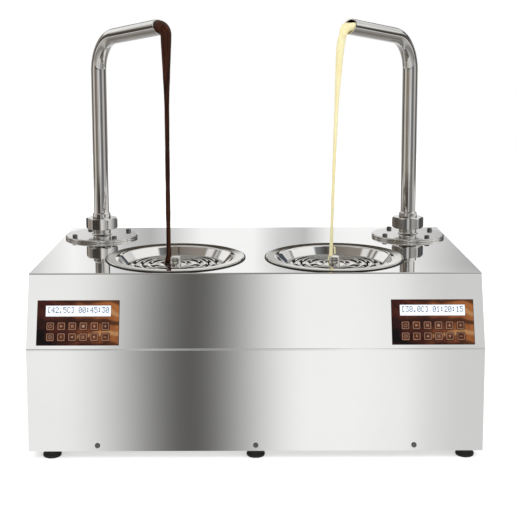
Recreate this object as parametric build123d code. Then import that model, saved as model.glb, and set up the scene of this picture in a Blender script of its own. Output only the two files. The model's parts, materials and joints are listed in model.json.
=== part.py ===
from build123d import *
import os
from math import atan2, cos, exp, hypot, radians, sin, tan

# Twin-spout chocolate fountain, in millimetres.
# +X is the right of someone standing in front, -Y the front and +Z up. It stands on Z = 0.

# Sheet-steel case
CASE_WIDTH = 660.0
TOP_DEPTH = 380.0
SLOPE_RUN = 36.0
SLOPE_DROP = 104.0
APRON_HEIGHT = 152.0
SHEET = 1.5
FOLD_RADIUS = 2.5
BEND_RADIUS = 8.0
REAR_FLANGE = 14.0
TRAY_FLANGE = 18.0

# Rubber feet, three along the front and three along the rear
FOOT_HEIGHT = 12.5
FOOT_TOP_RADIUS = 11.5
FOOT_BASE_RADIUS = 13.5
FOOT_EDGE = 2.0
FOOT_INSETS_X = {"left": 31.0, "right": 23.0}
FOOT_INSET_Y = 16.0

# Button-head screws that hold the case to its tray and rear panel
CASE_SCREW_SIDE_INSET = 100.0
CASE_SCREW_INSET = 8.5
CASE_SCREW_RADIUS = 2.0
CASE_SCREW_LENGTH = 8.0
CASE_HEAD_RADIUS = 3.9
CASE_HEAD_HEIGHT = 2.2
CASE_HEAD_ROUND = 1.75
CASE_SOCKET_RADIUS = 1.4
CASE_SOCKET_DEPTH = 1.1
SCREW_CLEARANCE = 0.25

# Bowls: a rolled rim on the top plate, a sloping wall, a ledge and a tank below it
BOWL_GAP = 32.0
BOWL_BACK = 112.0
BOWL_RADIUS = 108.0
BOWL_SHEET = 1.5
RIM_WIDTH = 17.0
RIM_HEIGHT = 2.5
RIM_FALL = 1.0
RIM_CORNER = 1.5
RIM_THROAT = 6.0
HOLE_MARGIN = 5.0
TANK_DEPTH = 76.0
FLOOR_FALL = 14.0
TANK_CORNER = 12.0
LEDGE_WIDTH = 6.0
LEDGE_CORNER = 1.2
SPIGOT_RADIUS = 15.0
SPIGOT_WALL = 1.5

# Drain grid with concentric rings and its lifting knob
GRID_RADIUS = 76.0
GRID_GAP = 0.8
GRID_DEPTH = 11.0
GRID_THICKNESS = 3.0
RING_RADII = (16.0, 38.0, 51.5, 63.5)
RING_CROWN = 1.6
SLOT_WIDTH = 2.6
SLOT_BRIDGES = 4
BRIDGE_WIDTH = 8.0
KNOB_RADIUS = 8.25
KNOB_HEIGHT = 12.5
KNOB_EDGE = 1.6

# Band heater round each tank
HEATER_HEIGHT = 40.0
HEATER_THICKNESS = 4.0
HEATER_GAP = 0.2
HEATER_TOP_GAP = 14.0
TERMINAL_BOX = 26.0

# Pump flange on the top plate, its screws and the union that holds the spout
PUMP_SIDE_INSET = 66.0
PUMP_REAR_INSET = 90.0
FLANGE_RADIUS = 62.0
FLANGE_THICKNESS = 5.0
FLANGE_EDGE = 1.0
FLANGE_SCREWS = 4
FLANGE_SCREW_TURN = 32.0
FLANGE_BOLT_RADIUS = 50.0
FLANGE_SCREW_RADIUS = 2.5
FLANGE_SCREW_LENGTH = 14.0
FLANGE_HEAD_RADIUS = 4.25
FLANGE_HEAD_HEIGHT = 4.0
SOCKET_RADIUS = 2.2
SOCKET_DEPTH = 2.2
NECK_RADIUS = 15.0
NECK_HEIGHT = 12.0
UNION_RADIUS = 20.0
UNION_HEIGHT = 9.0
SEAL_THICKNESS = 1.5
SEAL_INSET = 2.0
COLLAR_SHOULDER = 2.5
COLLAR_RADIUS = 15.2
COLLAR_HEIGHT = 12.0
NUT_ACROSS_FLATS = 48.5
NUT_HEIGHT = 19.0
NUT_SKIRT = 1.5
NUT_CHAMFER_HEIGHT = 2.4
NUT_CHAMFER_RUN = 4.8
TURN_CLEARANCE = 0.4

# Spout: a bent tube whose arm rises a little towards the middle of its bowl
TUBE_RADIUS = 12.7
TUBE_WALL = 1.5
WELD_GAP = 0.05
SPOUT_TIP_HEIGHT = 357.0
SPOUT_RISE = 18.0
SPOUT_BEND = 42.0
MOUTH_RAKE = 25.0

# Chocolate that leaves the spout, rolls over its lip and falls to the grid
PLUG_LENGTH = 12.0
FILL_GAP = 0.3
LANDING_GAP = 11.2
FALL_OFFSET = 17.0
LIP_DROP = 14.0
LIP_STEPS = 4
LIP_NARROWING = 0.5
STREAM_TOP_RADIUS = {"left": 8.0, "right": 6.2}
STREAM_END_RADIUS = {"left": 3.3, "right": 2.8}
STREAM_DRIFT = {"left": (0.0, 0.0), "right": (4.5, 19.5)}
STREAM_NECK_DROP = 70.0
STREAM_STEPS = 10
STREAM_END_GAP = 0.6

# Screw pump and its gearmotor below the flange
BARREL_RADIUS = 23.0
BARREL_WALL = 4.0
BARREL_FLANGE_RADIUS = 57.0
BARREL_FLANGE_THICKNESS = 5.0
BEARING_THICKNESS = 10.0
LANTERN_HEIGHT = 18.0
LANTERN_WINDOW = 26.0
PORT_RISE = 18.0
PORT_LENGTH = 22.0
SHAFT_RADIUS = 6.0
SHAFT_FIT = 0.05
SHAFT_ENGAGEMENT = 18.0
SHAFT_END_GAP = 8.0
FLIGHT_PITCH = 28.0
FLIGHT_BLADE = 3.0
FLIGHT_CLEARANCE = 0.5
FLIGHT_END_GAP = 4.0
GEARBOX_SIZE = 76.0
GEARBOX_HEIGHT = 28.0
GEARBOX_CORNER = 10.0
MOTOR_RADIUS = 30.0
MOTOR_HEIGHT = 42.0
HOSE_WALL = 3.0
HOSE_GAP = 0.3
HOSE_BEND = 34.0
HOSE_OVERLAP = 10.0

# Control panels on the sloping front, each with a display and two rows of keys
PANEL_SIDE_INSET = 74.0
PANEL_WIDTH = 119.0
PANEL_HEIGHT = 65.0
PANEL_TOP_MARGIN = 39.0
PANEL_FILM = 0.8
PANEL_CORNER = 0.5
PANEL_LIP = 3.0
PANEL_DEPTH = 5.0
PANEL_GAP = 0.3
WINDOW_WIDTH = 94.5
WINDOW_HEIGHT = 16.0
WINDOW_TOP_MARGIN = 7.5
DISPLAY_RECESS = 0.2
DISPLAY_DEPTH = 5.5
DISPLAY_BORDER = 2.0
KEY_COLUMNS = 6
KEY_ROWS = 2
KEY_SIZE = 12.0
KEY_CORNER = 1.6
KEY_PITCH_X = 15.9
KEY_PITCH_Y = 15.6
KEY_TOP_MARGIN = 31.4
KEY_GAP = 0.35
KEY_PROUD = 0.2
KEY_FLANGE = 1.1
KEY_FLANGE_THICKNESS = 1.2
KEY_STEM_RADIUS = 1.5
KEY_STEM_LENGTH = 3.3
BOARD_STANDOFF = 6.0
BOARD_THICKNESS = 1.6
POST_RADIUS = 2.5
POST_INSET = 3.5
SWITCH_SIZE = 6.0
SWITCH_HEIGHT = 3.5
SWITCH_STEM_GAP = 0.4

# Rear panel: vent slots, mains inlet and rocker switch
VENT_SIDE_INSET = 130.0
VENT_BOTTOM = 70.0
VENT_SLOTS = 9
VENT_PITCH = 11.0
VENT_LENGTH = 90.0
VENT_WIDTH = 4.0
INLET_X = -90.0
INLET_Z = 52.0
INLET_WIDTH = 28.0
INLET_HEIGHT = 20.0
INLET_DEPTH = 22.0
INLET_WALL = 2.0
INLET_FLANGE = 10.0
INLET_PLATE = 2.0
PIN_WIDTH = 2.0
PIN_HEIGHT = 4.0
PIN_SPACING = 7.0
PIN_DROP = 4.0
PIN_LENGTH = 15.0
SWITCH_X = -30.0
ROCKER_WIDTH = 14.0
ROCKER_HALF_HEIGHT = 10.2
ROCKER_FACE = 9.2
ROCKER_DIP = 1.6
ROCKER_SINK = 9.2
ROCKER_TILT = 8.0
ROCKER_GAP = 0.4
ROCKER_SWING_GAP = 2.1
ROCKER_FRAME_WALL = 2.0
ROCKER_FRAME_LIP = 3.0

SIDES = {"left": -1, "right": 1}

# Places worked out from the sizes above
DEPTH = TOP_DEPTH + SLOPE_RUN
FRONT_Y = -DEPTH / 2
REAR_Y = DEPTH / 2
FOLD_Y = FRONT_Y + SLOPE_RUN
INNER_REAR_Y = REAR_Y - SHEET
INNER_WIDTH = CASE_WIDTH - 2 * SHEET
CASE_BOTTOM = FOOT_HEIGHT
TRAY_TOP = CASE_BOTTOM + SHEET
BEND_Z = CASE_BOTTOM + APRON_HEIGHT
TOP_Z = BEND_Z + SLOPE_DROP
BOWL_X = BOWL_RADIUS + BOWL_GAP / 2
BOWL_Y = FOLD_Y + BOWL_BACK
PUMP_X = CASE_WIDTH / 2 - PUMP_SIDE_INSET
PUMP_Y = REAR_Y - PUMP_REAR_INSET
PANEL_X = CASE_WIDTH / 2 - PANEL_SIDE_INSET
VENT_X = CASE_WIDTH / 2 - VENT_SIDE_INSET
PUMP_TO_BOWL = hypot(PUMP_X - BOWL_X, PUMP_Y - BOWL_Y)
SPOUT_REACH = PUMP_TO_BOWL - KNOB_RADIUS - LANDING_GAP - FALL_OFFSET
BOWL_HOLE_RADIUS = BOWL_RADIUS - RIM_WIDTH + HOLE_MARGIN
LEDGE_DEPTH = GRID_DEPTH + GRID_THICKNESS
LEDGE_RADIUS = GRID_RADIUS + GRID_GAP
TANK_RADIUS = LEDGE_RADIUS - LEDGE_WIDTH
GEARBOX_TOP = TRAY_TOP + MOTOR_HEIGHT + GEARBOX_HEIGHT
BEARING_BOTTOM = GEARBOX_TOP + LANTERN_HEIGHT
BARREL_FLOOR = BEARING_BOTTOM + BEARING_THICKNESS
BARREL_TOP = TOP_Z - SHEET
BARREL_BORE = BARREL_RADIUS - BARREL_WALL
PORT_Z = BARREL_FLOOR + PORT_RISE
SPIGOT_END = PORT_Z + HOSE_BEND
HOSE_BORE = SPIGOT_RADIUS + HOSE_GAP
HOSE_RADIUS = HOSE_BORE + HOSE_WALL
TUBE_BORE = TUBE_RADIUS - TUBE_WALL
UNION_BASE = FLANGE_THICKNESS + NECK_HEIGHT
SEAL_BASE = UNION_BASE + UNION_HEIGHT
COLLAR_BASE = SEAL_BASE + SEAL_THICKNESS
SHOULDER_TOP = COLLAR_BASE + COLLAR_SHOULDER
NUT_BASE = UNION_BASE - NUT_SKIRT
SLOPE_LENGTH = hypot(SLOPE_RUN, SLOPE_DROP)
CASE_SCREW_X = CASE_WIDTH / 2 - CASE_SCREW_SIDE_INSET
CASE_SCREW_XS = (-CASE_SCREW_X, 0.0, CASE_SCREW_X)
TRAY_SCREW_Z = CASE_BOTTOM + CASE_SCREW_INSET
REAR_SCREW_Z = TOP_Z - CASE_SCREW_INSET
KEY_DEPTH = PANEL_DEPTH + KEY_FLANGE_THICKNESS
BOARD_DEPTH = PANEL_DEPTH + BOARD_STANDOFF
ROCKER_HOLE_HEIGHT = 2 * (ROCKER_HALF_HEIGHT + ROCKER_SWING_GAP)
ROCKER_HOLE_WIDTH = ROCKER_WIDTH + 2 * ROCKER_GAP
ROCKER_FRAME_DEPTH = ROCKER_SINK + ROCKER_HALF_HEIGHT + ROCKER_SWING_GAP


# Shared helpers
def turned(*points):
    """A solid of revolution about Z from an outline of (radius, height) points."""
    return revolve(Plane.XZ * Polygon(*points, align=None), Axis.Z)


def tube(outer, inner, bottom, top):
    return turned((inner, bottom), (outer, bottom), (outer, top), (inner, top))


def post(radius, bottom, top):
    return Pos(0, 0, bottom) * Cylinder(radius, top - bottom, align=(Align.CENTER, Align.CENTER, Align.MIN))


def block(width, height, bottom, top, corner=0.0):
    """A plate-like block standing on the XY plane's normal between two heights."""
    outline = RectangleRounded(width, height, corner) if corner else Rectangle(width, height)
    return Pos(0, 0, bottom) * extrude(outline, top - bottom)


def pump_axis(side):
    return Vector(side * PUMP_X, PUMP_Y, TOP_Z)


def bowl_centre(side):
    return Vector(side * BOWL_X, BOWL_Y, TOP_Z)


def spout_plane(side):
    """Upright plane through a pump's axis and its bowl's centre: x runs out along the arm, y up."""
    along = (bowl_centre(side) - pump_axis(side)).normalized()
    return Plane(origin=pump_axis(side), x_dir=along, z_dir=along.cross(Vector(0, 0, 1)))


def panel_plane(side):
    """Plane on the sloping front, in the middle of a control panel, facing outwards."""
    share = (PANEL_TOP_MARGIN + PANEL_HEIGHT / 2) / SLOPE_LENGTH
    middle = Vector(side * PANEL_X, FOLD_Y - share * SLOPE_RUN, TOP_Z - share * SLOPE_DROP)
    return Plane(origin=middle, x_dir=(1, 0, 0), z_dir=(0, -SLOPE_DROP, SLOPE_RUN))


def rear_plane(x, z):
    """Plane on the rear panel's outer face, facing backwards."""
    return Plane(origin=(x, REAR_Y, z), x_dir=(-1, 0, 0), z_dir=(0, 1, 0))


def key_places():
    """Middles of the keys on a control panel, row by row from the upper left."""
    first_y = PANEL_HEIGHT / 2 - KEY_TOP_MARGIN - KEY_SIZE / 2
    first_x = -KEY_PITCH_X * (KEY_COLUMNS - 1) / 2
    return [
        (first_x + column * KEY_PITCH_X, first_y - row * KEY_PITCH_Y)
        for row in range(KEY_ROWS)
        for column in range(KEY_COLUMNS)
    ]


def window_place():
    return Pos(0, PANEL_HEIGHT / 2 - WINDOW_TOP_MARGIN - WINDOW_HEIGHT / 2)


def on_both_sides(make):
    return Part() + [make(side) for side in SIDES.values()]


# Case
def case_outline():
    """Side view of the case in (Y, Z), with its two front folds rounded."""
    fold = (FOLD_Y, TOP_Z)
    bend = (FRONT_Y, BEND_Z)
    outline = Polygon(
        (INNER_REAR_Y, CASE_BOTTOM),
        (INNER_REAR_Y, TOP_Z),
        fold,
        bend,
        (FRONT_Y, CASE_BOTTOM),
        align=None,
    )
    for corner, radius in ((fold, FOLD_RADIUS), (bend, BEND_RADIUS)):
        nearest = outline.vertices().sort_by_distance((*corner, 0))[0]
        outline = fillet(nearest, radius)
    return outline


def case_cover():
    """Top, slope and apron folded from one sheet, with a short flange down the rear."""
    outline = case_outline()
    open_rear = Polygon(
        (FOLD_Y, CASE_BOTTOM - SHEET),
        (INNER_REAR_Y + SHEET, CASE_BOTTOM - SHEET),
        (INNER_REAR_Y + SHEET, TOP_Z - REAR_FLANGE),
        (FOLD_Y, TOP_Z - REAR_FLANGE),
        align=None,
    )
    open_bottom = Polygon(
        (FRONT_Y + SHEET, CASE_BOTTOM - SHEET),
        (FOLD_Y, CASE_BOTTOM - SHEET),
        (FOLD_Y, CASE_BOTTOM + 2 * SHEET),
        (FRONT_Y + SHEET, CASE_BOTTOM + 2 * SHEET),
        align=None,
    )
    section = outline - offset(outline, -SHEET) - open_rear - open_bottom
    cover = extrude(Plane.YZ * section, INNER_WIDTH / 2, both=True)
    for side in SIDES.values():
        cover -= Pos(bowl_centre(side)) * Cylinder(BOWL_HOLE_RADIUS, 4 * SHEET)
        cover -= Pos(pump_axis(side)) * Cylinder(BARREL_BORE, 4 * SHEET)
        cover -= Pos(pump_axis(side)) * flange_screw_holes(-2 * SHEET, 2 * SHEET)
        width = PANEL_WIDTH - 2 * PANEL_LIP + 2 * PANEL_GAP
        height = PANEL_HEIGHT - 2 * PANEL_LIP + 2 * PANEL_GAP
        cover -= panel_plane(side) * block(width, height, -2 * SHEET, 2 * SHEET)
    cover -= case_screw_holes()
    return cover


def side_panels():
    inner_x = INNER_WIDTH / 2
    return Part() + [
        Pos(side * (inner_x + SHEET / 2), 0, 0) * extrude(Plane.YZ * case_outline(), SHEET / 2, both=True)
        for side in SIDES.values()
    ]


def base_tray():
    depth = INNER_REAR_Y - FRONT_Y - SHEET
    middle = Pos(0, (INNER_REAR_Y + FRONT_Y + SHEET) / 2, CASE_BOTTOM)
    tray = middle * block(INNER_WIDTH, depth, 0, TRAY_FLANGE)
    tray -= middle * block(INNER_WIDTH - 2 * SHEET, depth - 2 * SHEET, SHEET, TRAY_FLANGE + SHEET)
    return tray - case_screw_holes()


def rear_panel():
    middle = Pos(0, REAR_Y - SHEET / 2, (CASE_BOTTOM + TOP_Z) / 2)
    panel = middle * Box(CASE_WIDTH, SHEET, TOP_Z - CASE_BOTTOM)
    slot = SlotOverall(VENT_LENGTH, VENT_WIDTH)
    for side in SIDES.values():
        for row in range(VENT_SLOTS):
            place = rear_plane(side * VENT_X, VENT_BOTTOM + row * VENT_PITCH)
            panel -= extrude(place * slot, 2 * SHEET, both=True)
    inlet_cut = block(INLET_WIDTH + 2 * PANEL_GAP, INLET_HEIGHT + 2 * PANEL_GAP, -2 * SHEET, 2 * SHEET)
    panel -= rear_plane(INLET_X, INLET_Z) * inlet_cut
    frame_width = ROCKER_HOLE_WIDTH + 2 * ROCKER_FRAME_WALL + 2 * PANEL_GAP
    frame_height = ROCKER_HOLE_HEIGHT + 2 * ROCKER_FRAME_WALL + 2 * PANEL_GAP
    panel -= rear_plane(SWITCH_X, INLET_Z) * block(frame_width, frame_height, -2 * SHEET, 2 * SHEET)
    return panel - case_screw_holes()


def feet():
    foot = turned((0, 0), (FOOT_BASE_RADIUS, 0), (FOOT_TOP_RADIUS, FOOT_HEIGHT), (0, FOOT_HEIGHT))
    foot = fillet(foot.edges().sort_by(Axis.Z)[0], FOOT_EDGE)
    outer_xs = [side * (CASE_WIDTH / 2 - FOOT_INSETS_X[name]) for name, side in SIDES.items()]
    rows = (FRONT_Y + FOOT_INSET_Y, REAR_Y - FOOT_INSET_Y)
    return Part() + [Pos(x, y, 0) * foot for x in (0, *outer_xs) for y in rows]


def case_screw_planes():
    """Planes on the case's outer faces under each screw head, facing outwards."""
    front = [Plane((x, FRONT_Y, TRAY_SCREW_Z), x_dir=(1, 0, 0), z_dir=(0, -1, 0)) for x in CASE_SCREW_XS]
    rear = [rear_plane(x, z) for x in CASE_SCREW_XS for z in (TRAY_SCREW_Z, REAR_SCREW_Z)]
    return front + rear


def case_screw_holes():
    hole = post(CASE_SCREW_RADIUS + SCREW_CLEARANCE, -CASE_SCREW_LENGTH, CASE_SCREW_LENGTH)
    return Part() + [plane * hole for plane in case_screw_planes()]


def case_screws():
    head = post(CASE_HEAD_RADIUS, 0, CASE_HEAD_HEIGHT)
    head = fillet(head.edges().sort_by(Axis.Z)[-1], CASE_HEAD_ROUND)
    socket = extrude(RegularPolygon(CASE_SOCKET_RADIUS, 6), CASE_HEAD_HEIGHT)
    head -= Pos(0, 0, CASE_HEAD_HEIGHT - CASE_SOCKET_DEPTH) * socket
    screw = head + post(CASE_SCREW_RADIUS, -CASE_SCREW_LENGTH, 0)
    return Part() + [plane * screw for plane in case_screw_planes()]


# Bowls
def basin(side):
    """Rim, sloping wall, ledge, tank and outlet spigot drawn from one thickness of sheet."""
    half = BOWL_SHEET / 2
    spigot = SPIGOT_RADIUS - SPIGOT_WALL / 2
    path = FilletPolyline(
        (BOWL_RADIUS - half, 0),
        (BOWL_RADIUS - half, RIM_HEIGHT - half),
        (BOWL_RADIUS - RIM_WIDTH, RIM_HEIGHT - RIM_FALL - half),
        (LEDGE_RADIUS + half, -LEDGE_DEPTH - half),
        (TANK_RADIUS + half, -LEDGE_DEPTH - half),
        (TANK_RADIUS + half, -TANK_DEPTH),
        (spigot, -TANK_DEPTH - FLOOR_FALL),
        (spigot, SPIGOT_END - TOP_Z),
        radius=[RIM_CORNER, RIM_THROAT, LEDGE_CORNER, LEDGE_CORNER, TANK_CORNER, RIM_THROAT],
    )
    section = trace(path, BOWL_SHEET)
    return Pos(bowl_centre(side)) * revolve(Plane.XZ * section, Axis.Z)


def drain_grid(side):
    """Pressed disc with crowned rings, cut by rows of drain slots between them."""
    edges = (*RING_RADII, GRID_RADIUS)
    top = -GRID_DEPTH
    outline = Line((0, top), (edges[0], top)).edges()
    for inner, outer in zip(edges, edges[1:]):
        outline += [ThreePointArc((inner, top), ((inner + outer) / 2, top + RING_CROWN), (outer, top))]
    outline += Polyline((edges[-1], top), (edges[-1], -LEDGE_DEPTH), (0, -LEDGE_DEPTH), (0, top)).edges()
    grid = revolve(Plane.XZ * make_face(outline), Axis.Z)
    bridge = Pos(GRID_RADIUS / 2, 0) * Rectangle(GRID_RADIUS, BRIDGE_WIDTH)
    bridges = Sketch() + [
        Rot(0, 0, 360 / SLOT_BRIDGES * turn) * bridge
        for turn in range(SLOT_BRIDGES)
    ]
    for row, radius in enumerate(RING_RADII[1:]):
        ring = Circle(radius + SLOT_WIDTH / 2) - Circle(radius - SLOT_WIDTH / 2)
        slots = ring - Rot(0, 0, 180 / SLOT_BRIDGES * (row % 2)) * bridges
        grid -= extrude(Pos(0, 0, -2 * LEDGE_DEPTH) * slots, 2 * LEDGE_DEPTH)
    return Pos(bowl_centre(side)) * grid


def grid_knob(side):
    knob = post(KNOB_RADIUS, -GRID_DEPTH, KNOB_HEIGHT - GRID_DEPTH)
    knob = fillet(knob.edges().sort_by(Axis.Z)[-1], KNOB_EDGE)
    return Pos(bowl_centre(side)) * knob


def tank_heaters():
    """Clamped heater bands with a terminal box each, at the back of the tanks."""
    inner = TANK_RADIUS + BOWL_SHEET + HEATER_GAP
    outer = inner + HEATER_THICKNESS
    top = -LEDGE_DEPTH - HEATER_TOP_GAP
    band = tube(outer, inner, top - HEATER_HEIGHT, top)
    box = Pos(0, inner, top - HEATER_HEIGHT / 2) * Box(
        TERMINAL_BOX, TERMINAL_BOX, TERMINAL_BOX, align=(Align.CENTER, Align.MIN, Align.CENTER)
    )
    heater = band + (box - post(outer, top - HEATER_HEIGHT, top))
    return on_both_sides(lambda side: Pos(bowl_centre(side)) * heater)


# Pump flange and spout union
def flange_screw_holes(bottom, top):
    hole = post(FLANGE_SCREW_RADIUS + SCREW_CLEARANCE, bottom, top)
    return Part() + [place * hole for place in flange_screw_places()]


def flange_screw_places():
    step = 360 / FLANGE_SCREWS
    turns = [FLANGE_SCREW_TURN + step * number for number in range(FLANGE_SCREWS)]
    return [Rot(0, 0, turn) * Pos(FLANGE_BOLT_RADIUS, 0, 0) for turn in turns]


def pump_flanges():
    """Round plate with a waisted neck and the union's threaded head on top."""
    flange = turned(
        (TUBE_BORE, 0),
        (FLANGE_RADIUS, 0),
        (FLANGE_RADIUS, FLANGE_THICKNESS - FLANGE_EDGE),
        (FLANGE_RADIUS - FLANGE_EDGE, FLANGE_THICKNESS),
        (NECK_RADIUS, FLANGE_THICKNESS),
        (NECK_RADIUS, UNION_BASE),
        (UNION_RADIUS, UNION_BASE),
        (UNION_RADIUS, SEAL_BASE),
        (TUBE_BORE, SEAL_BASE),
    )
    flange -= flange_screw_holes(-FLANGE_THICKNESS, 2 * FLANGE_THICKNESS)
    return on_both_sides(lambda side: Pos(pump_axis(side)) * flange)


def flange_screws():
    screw = post(FLANGE_HEAD_RADIUS, FLANGE_THICKNESS, FLANGE_THICKNESS + FLANGE_HEAD_HEIGHT)
    screw += post(FLANGE_SCREW_RADIUS, FLANGE_THICKNESS - FLANGE_SCREW_LENGTH, FLANGE_THICKNESS)
    socket_bottom = FLANGE_THICKNESS + FLANGE_HEAD_HEIGHT - SOCKET_DEPTH
    screw -= Pos(0, 0, socket_bottom) * extrude(RegularPolygon(SOCKET_RADIUS, 6), 2 * SOCKET_DEPTH)
    ring = Part() + [place * screw for place in flange_screw_places()]
    return on_both_sides(lambda side: Pos(pump_axis(side)) * ring)


def spout_seals():
    seal = tube(UNION_RADIUS - SEAL_INSET, TUBE_BORE + SEAL_INSET, SEAL_BASE, COLLAR_BASE)
    return on_both_sides(lambda side: Pos(pump_axis(side)) * seal)


def spout_collar(side):
    """Sleeve welded to the foot of the spout, with the shoulder that the nut presses down."""
    bore = TUBE_RADIUS + WELD_GAP
    collar = turned(
        (bore, COLLAR_BASE),
        (UNION_RADIUS - TURN_CLEARANCE, COLLAR_BASE),
        (UNION_RADIUS - TURN_CLEARANCE, SHOULDER_TOP),
        (COLLAR_RADIUS, SHOULDER_TOP),
        (COLLAR_RADIUS, SHOULDER_TOP + COLLAR_HEIGHT),
        (bore, SHOULDER_TOP + COLLAR_HEIGHT),
    )
    return Pos(pump_axis(side)) * collar


def union_nut(side):
    hexagon = RegularPolygon(NUT_ACROSS_FLATS / 2, 6, major_radius=False)
    top = NUT_BASE + NUT_HEIGHT
    nut = Pos(0, 0, NUT_BASE) * extrude(hexagon, NUT_HEIGHT)
    flat = NUT_ACROSS_FLATS / 2
    corner = flat + NUT_CHAMFER_RUN
    nut &= turned(
        (0, NUT_BASE),
        (flat, NUT_BASE),
        (corner, NUT_BASE + NUT_CHAMFER_HEIGHT),
        (corner, top - NUT_CHAMFER_HEIGHT),
        (flat, top),
        (0, top),
    )
    nut -= post(UNION_RADIUS + TURN_CLEARANCE, NUT_BASE - NUT_HEIGHT, SHOULDER_TOP)
    nut -= post(COLLAR_RADIUS + TURN_CLEARANCE, NUT_BASE - NUT_HEIGHT, top + NUT_HEIGHT)
    return Pos(pump_axis(side)) * nut


def spout(side):
    """Bent tube from the collar's foot up and out over the bowl, its mouth cut back at the top."""
    tip = Vector(SPOUT_REACH, SPOUT_TIP_HEIGHT)
    slope = atan2(SPOUT_RISE, SPOUT_REACH)
    lip = TUBE_RADIUS * tan(radians(MOUTH_RAKE))
    path = FilletPolyline(
        (0, COLLAR_BASE),
        (0, SPOUT_TIP_HEIGHT - SPOUT_RISE),
        tip + Vector(cos(slope), sin(slope)) * lip,
        radius=SPOUT_BEND,
    )
    section = Circle(TUBE_RADIUS) - Circle(TUBE_BORE)
    bent = sweep(Plane(path @ 0, x_dir=(1, 0, 0), z_dir=path % 0) * section, path=path)
    facing = slope + radians(MOUTH_RAKE)
    mouth = Plane(tip, x_dir=(0, 0, 1), z_dir=(cos(facing), sin(facing), 0))
    return spout_plane(side) * split(bent, bisect_by=mouth, keep=Keep.BOTTOM)


def stream(name):
    """Chocolate: a plug in the spout's mouth, a roll over its lip, then a thinning fall to the grid."""
    arm = Vector(SPOUT_REACH, SPOUT_RISE).normalized()
    tip = Vector(SPOUT_REACH, SPOUT_TIP_HEIGHT)
    full = TUBE_BORE - FILL_GAP
    top_radius = STREAM_TOP_RADIUS[name]
    end_radius = STREAM_END_RADIUS[name]
    drift_along, drift_across = STREAM_DRIFT[name]

    def ring(middle, heading, radius):
        return Plane(middle, x_dir=(0, 0, 1), z_dir=heading) * Circle(radius)

    rings = [ring(tip - arm * PLUG_LENGTH, arm, full), ring(tip, arm, full)]
    for step in range(1, LIP_STEPS + 1):
        share = step / LIP_STEPS
        turn = radians(90 * share)
        middle = tip + Vector(FALL_OFFSET * sin(turn), -LIP_DROP * (1 - cos(turn)))
        radius = full + (top_radius - full) * share**LIP_NARROWING
        rings.append(ring(middle, Vector(cos(turn), -sin(turn)), radius))
    start = tip + Vector(FALL_OFFSET, -LIP_DROP)
    fall = start.Y + GRID_DEPTH - RING_CROWN - STREAM_END_GAP
    for step in range(1, STREAM_STEPS + 1):
        share = step / STREAM_STEPS
        drop = fall * share**2
        radius = end_radius + (top_radius - end_radius) * exp(-((drop / STREAM_NECK_DROP) ** 2))
        middle = start + Vector(drift_along * share, -drop, drift_across * share)
        rings.append(ring(middle, Vector(0, -1, 0), radius))
    return spout_plane(SIDES[name]) * loft(rings, ruled=True)


# Pumps
def pump_barrels():
    """Screw-pump barrel hung under the top plate, with its lower bearing and motor lantern."""
    inner_lantern = BARREL_RADIUS + BARREL_WALL
    outer_lantern = inner_lantern + BARREL_WALL
    body = turned(
        (BARREL_BORE, BARREL_TOP),
        (BARREL_FLANGE_RADIUS, BARREL_TOP),
        (BARREL_FLANGE_RADIUS, BARREL_TOP - BARREL_FLANGE_THICKNESS),
        (BARREL_RADIUS, BARREL_TOP - BARREL_FLANGE_THICKNESS),
        (BARREL_RADIUS, BARREL_FLOOR),
        (outer_lantern, BARREL_FLOOR),
        (outer_lantern, GEARBOX_TOP),
        (inner_lantern, GEARBOX_TOP),
        (inner_lantern, BEARING_BOTTOM),
        (SHAFT_RADIUS + SHAFT_FIT, BEARING_BOTTOM),
        (SHAFT_RADIUS + SHAFT_FIT, BARREL_FLOOR),
        (BARREL_BORE, BARREL_FLOOR),
    )
    middle = (GEARBOX_TOP + BEARING_BOTTOM) / 2
    body -= Pos(0, 0, middle) * Box(4 * outer_lantern, LANTERN_WINDOW, LANTERN_HEIGHT - 2 * BARREL_WALL)
    body -= Pos(0, 0, TOP_Z) * flange_screw_holes(-4 * BARREL_FLANGE_THICKNESS, 0)

    def barrel(side):
        port = Plane((0, 0, PORT_Z), x_dir=(0, 0, 1), z_dir=spout_plane(side).x_dir)
        reach = BARREL_RADIUS + PORT_LENGTH
        stub = port * post(SPIGOT_RADIUS, 0, reach)
        stub -= post(BARREL_RADIUS - SPIGOT_WALL, BARREL_FLOOR, BARREL_TOP)
        whole = body + stub - port * post(SPIGOT_RADIUS - SPIGOT_WALL, 0, 2 * reach)
        return Pos(side * PUMP_X, PUMP_Y, 0) * whole

    return on_both_sides(barrel)


def auger(side):
    """Shaft with a helical flight that lifts the chocolate up the barrel."""
    bottom = BARREL_FLOOR + FLIGHT_END_GAP
    height = BARREL_TOP - FLIGHT_END_GAP - bottom
    outer = BARREL_BORE - FLIGHT_CLEARANCE
    root = SHAFT_RADIUS / 2
    path = Helix(pitch=FLIGHT_PITCH, height=height - FLIGHT_BLADE, radius=(outer + root) / 2)
    blade = Plane(path @ 0, x_dir=(1, 0, 0), z_dir=path % 0) * Rectangle(outer - root, FLIGHT_BLADE)
    flight = Pos(0, 0, bottom + FLIGHT_BLADE / 2) * sweep(blade, path=path, is_frenet=True)
    shaft = post(SHAFT_RADIUS, GEARBOX_TOP - SHAFT_ENGAGEMENT, bottom + height)
    return Pos(side * PUMP_X, PUMP_Y, 0) * (shaft + flight)


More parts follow.
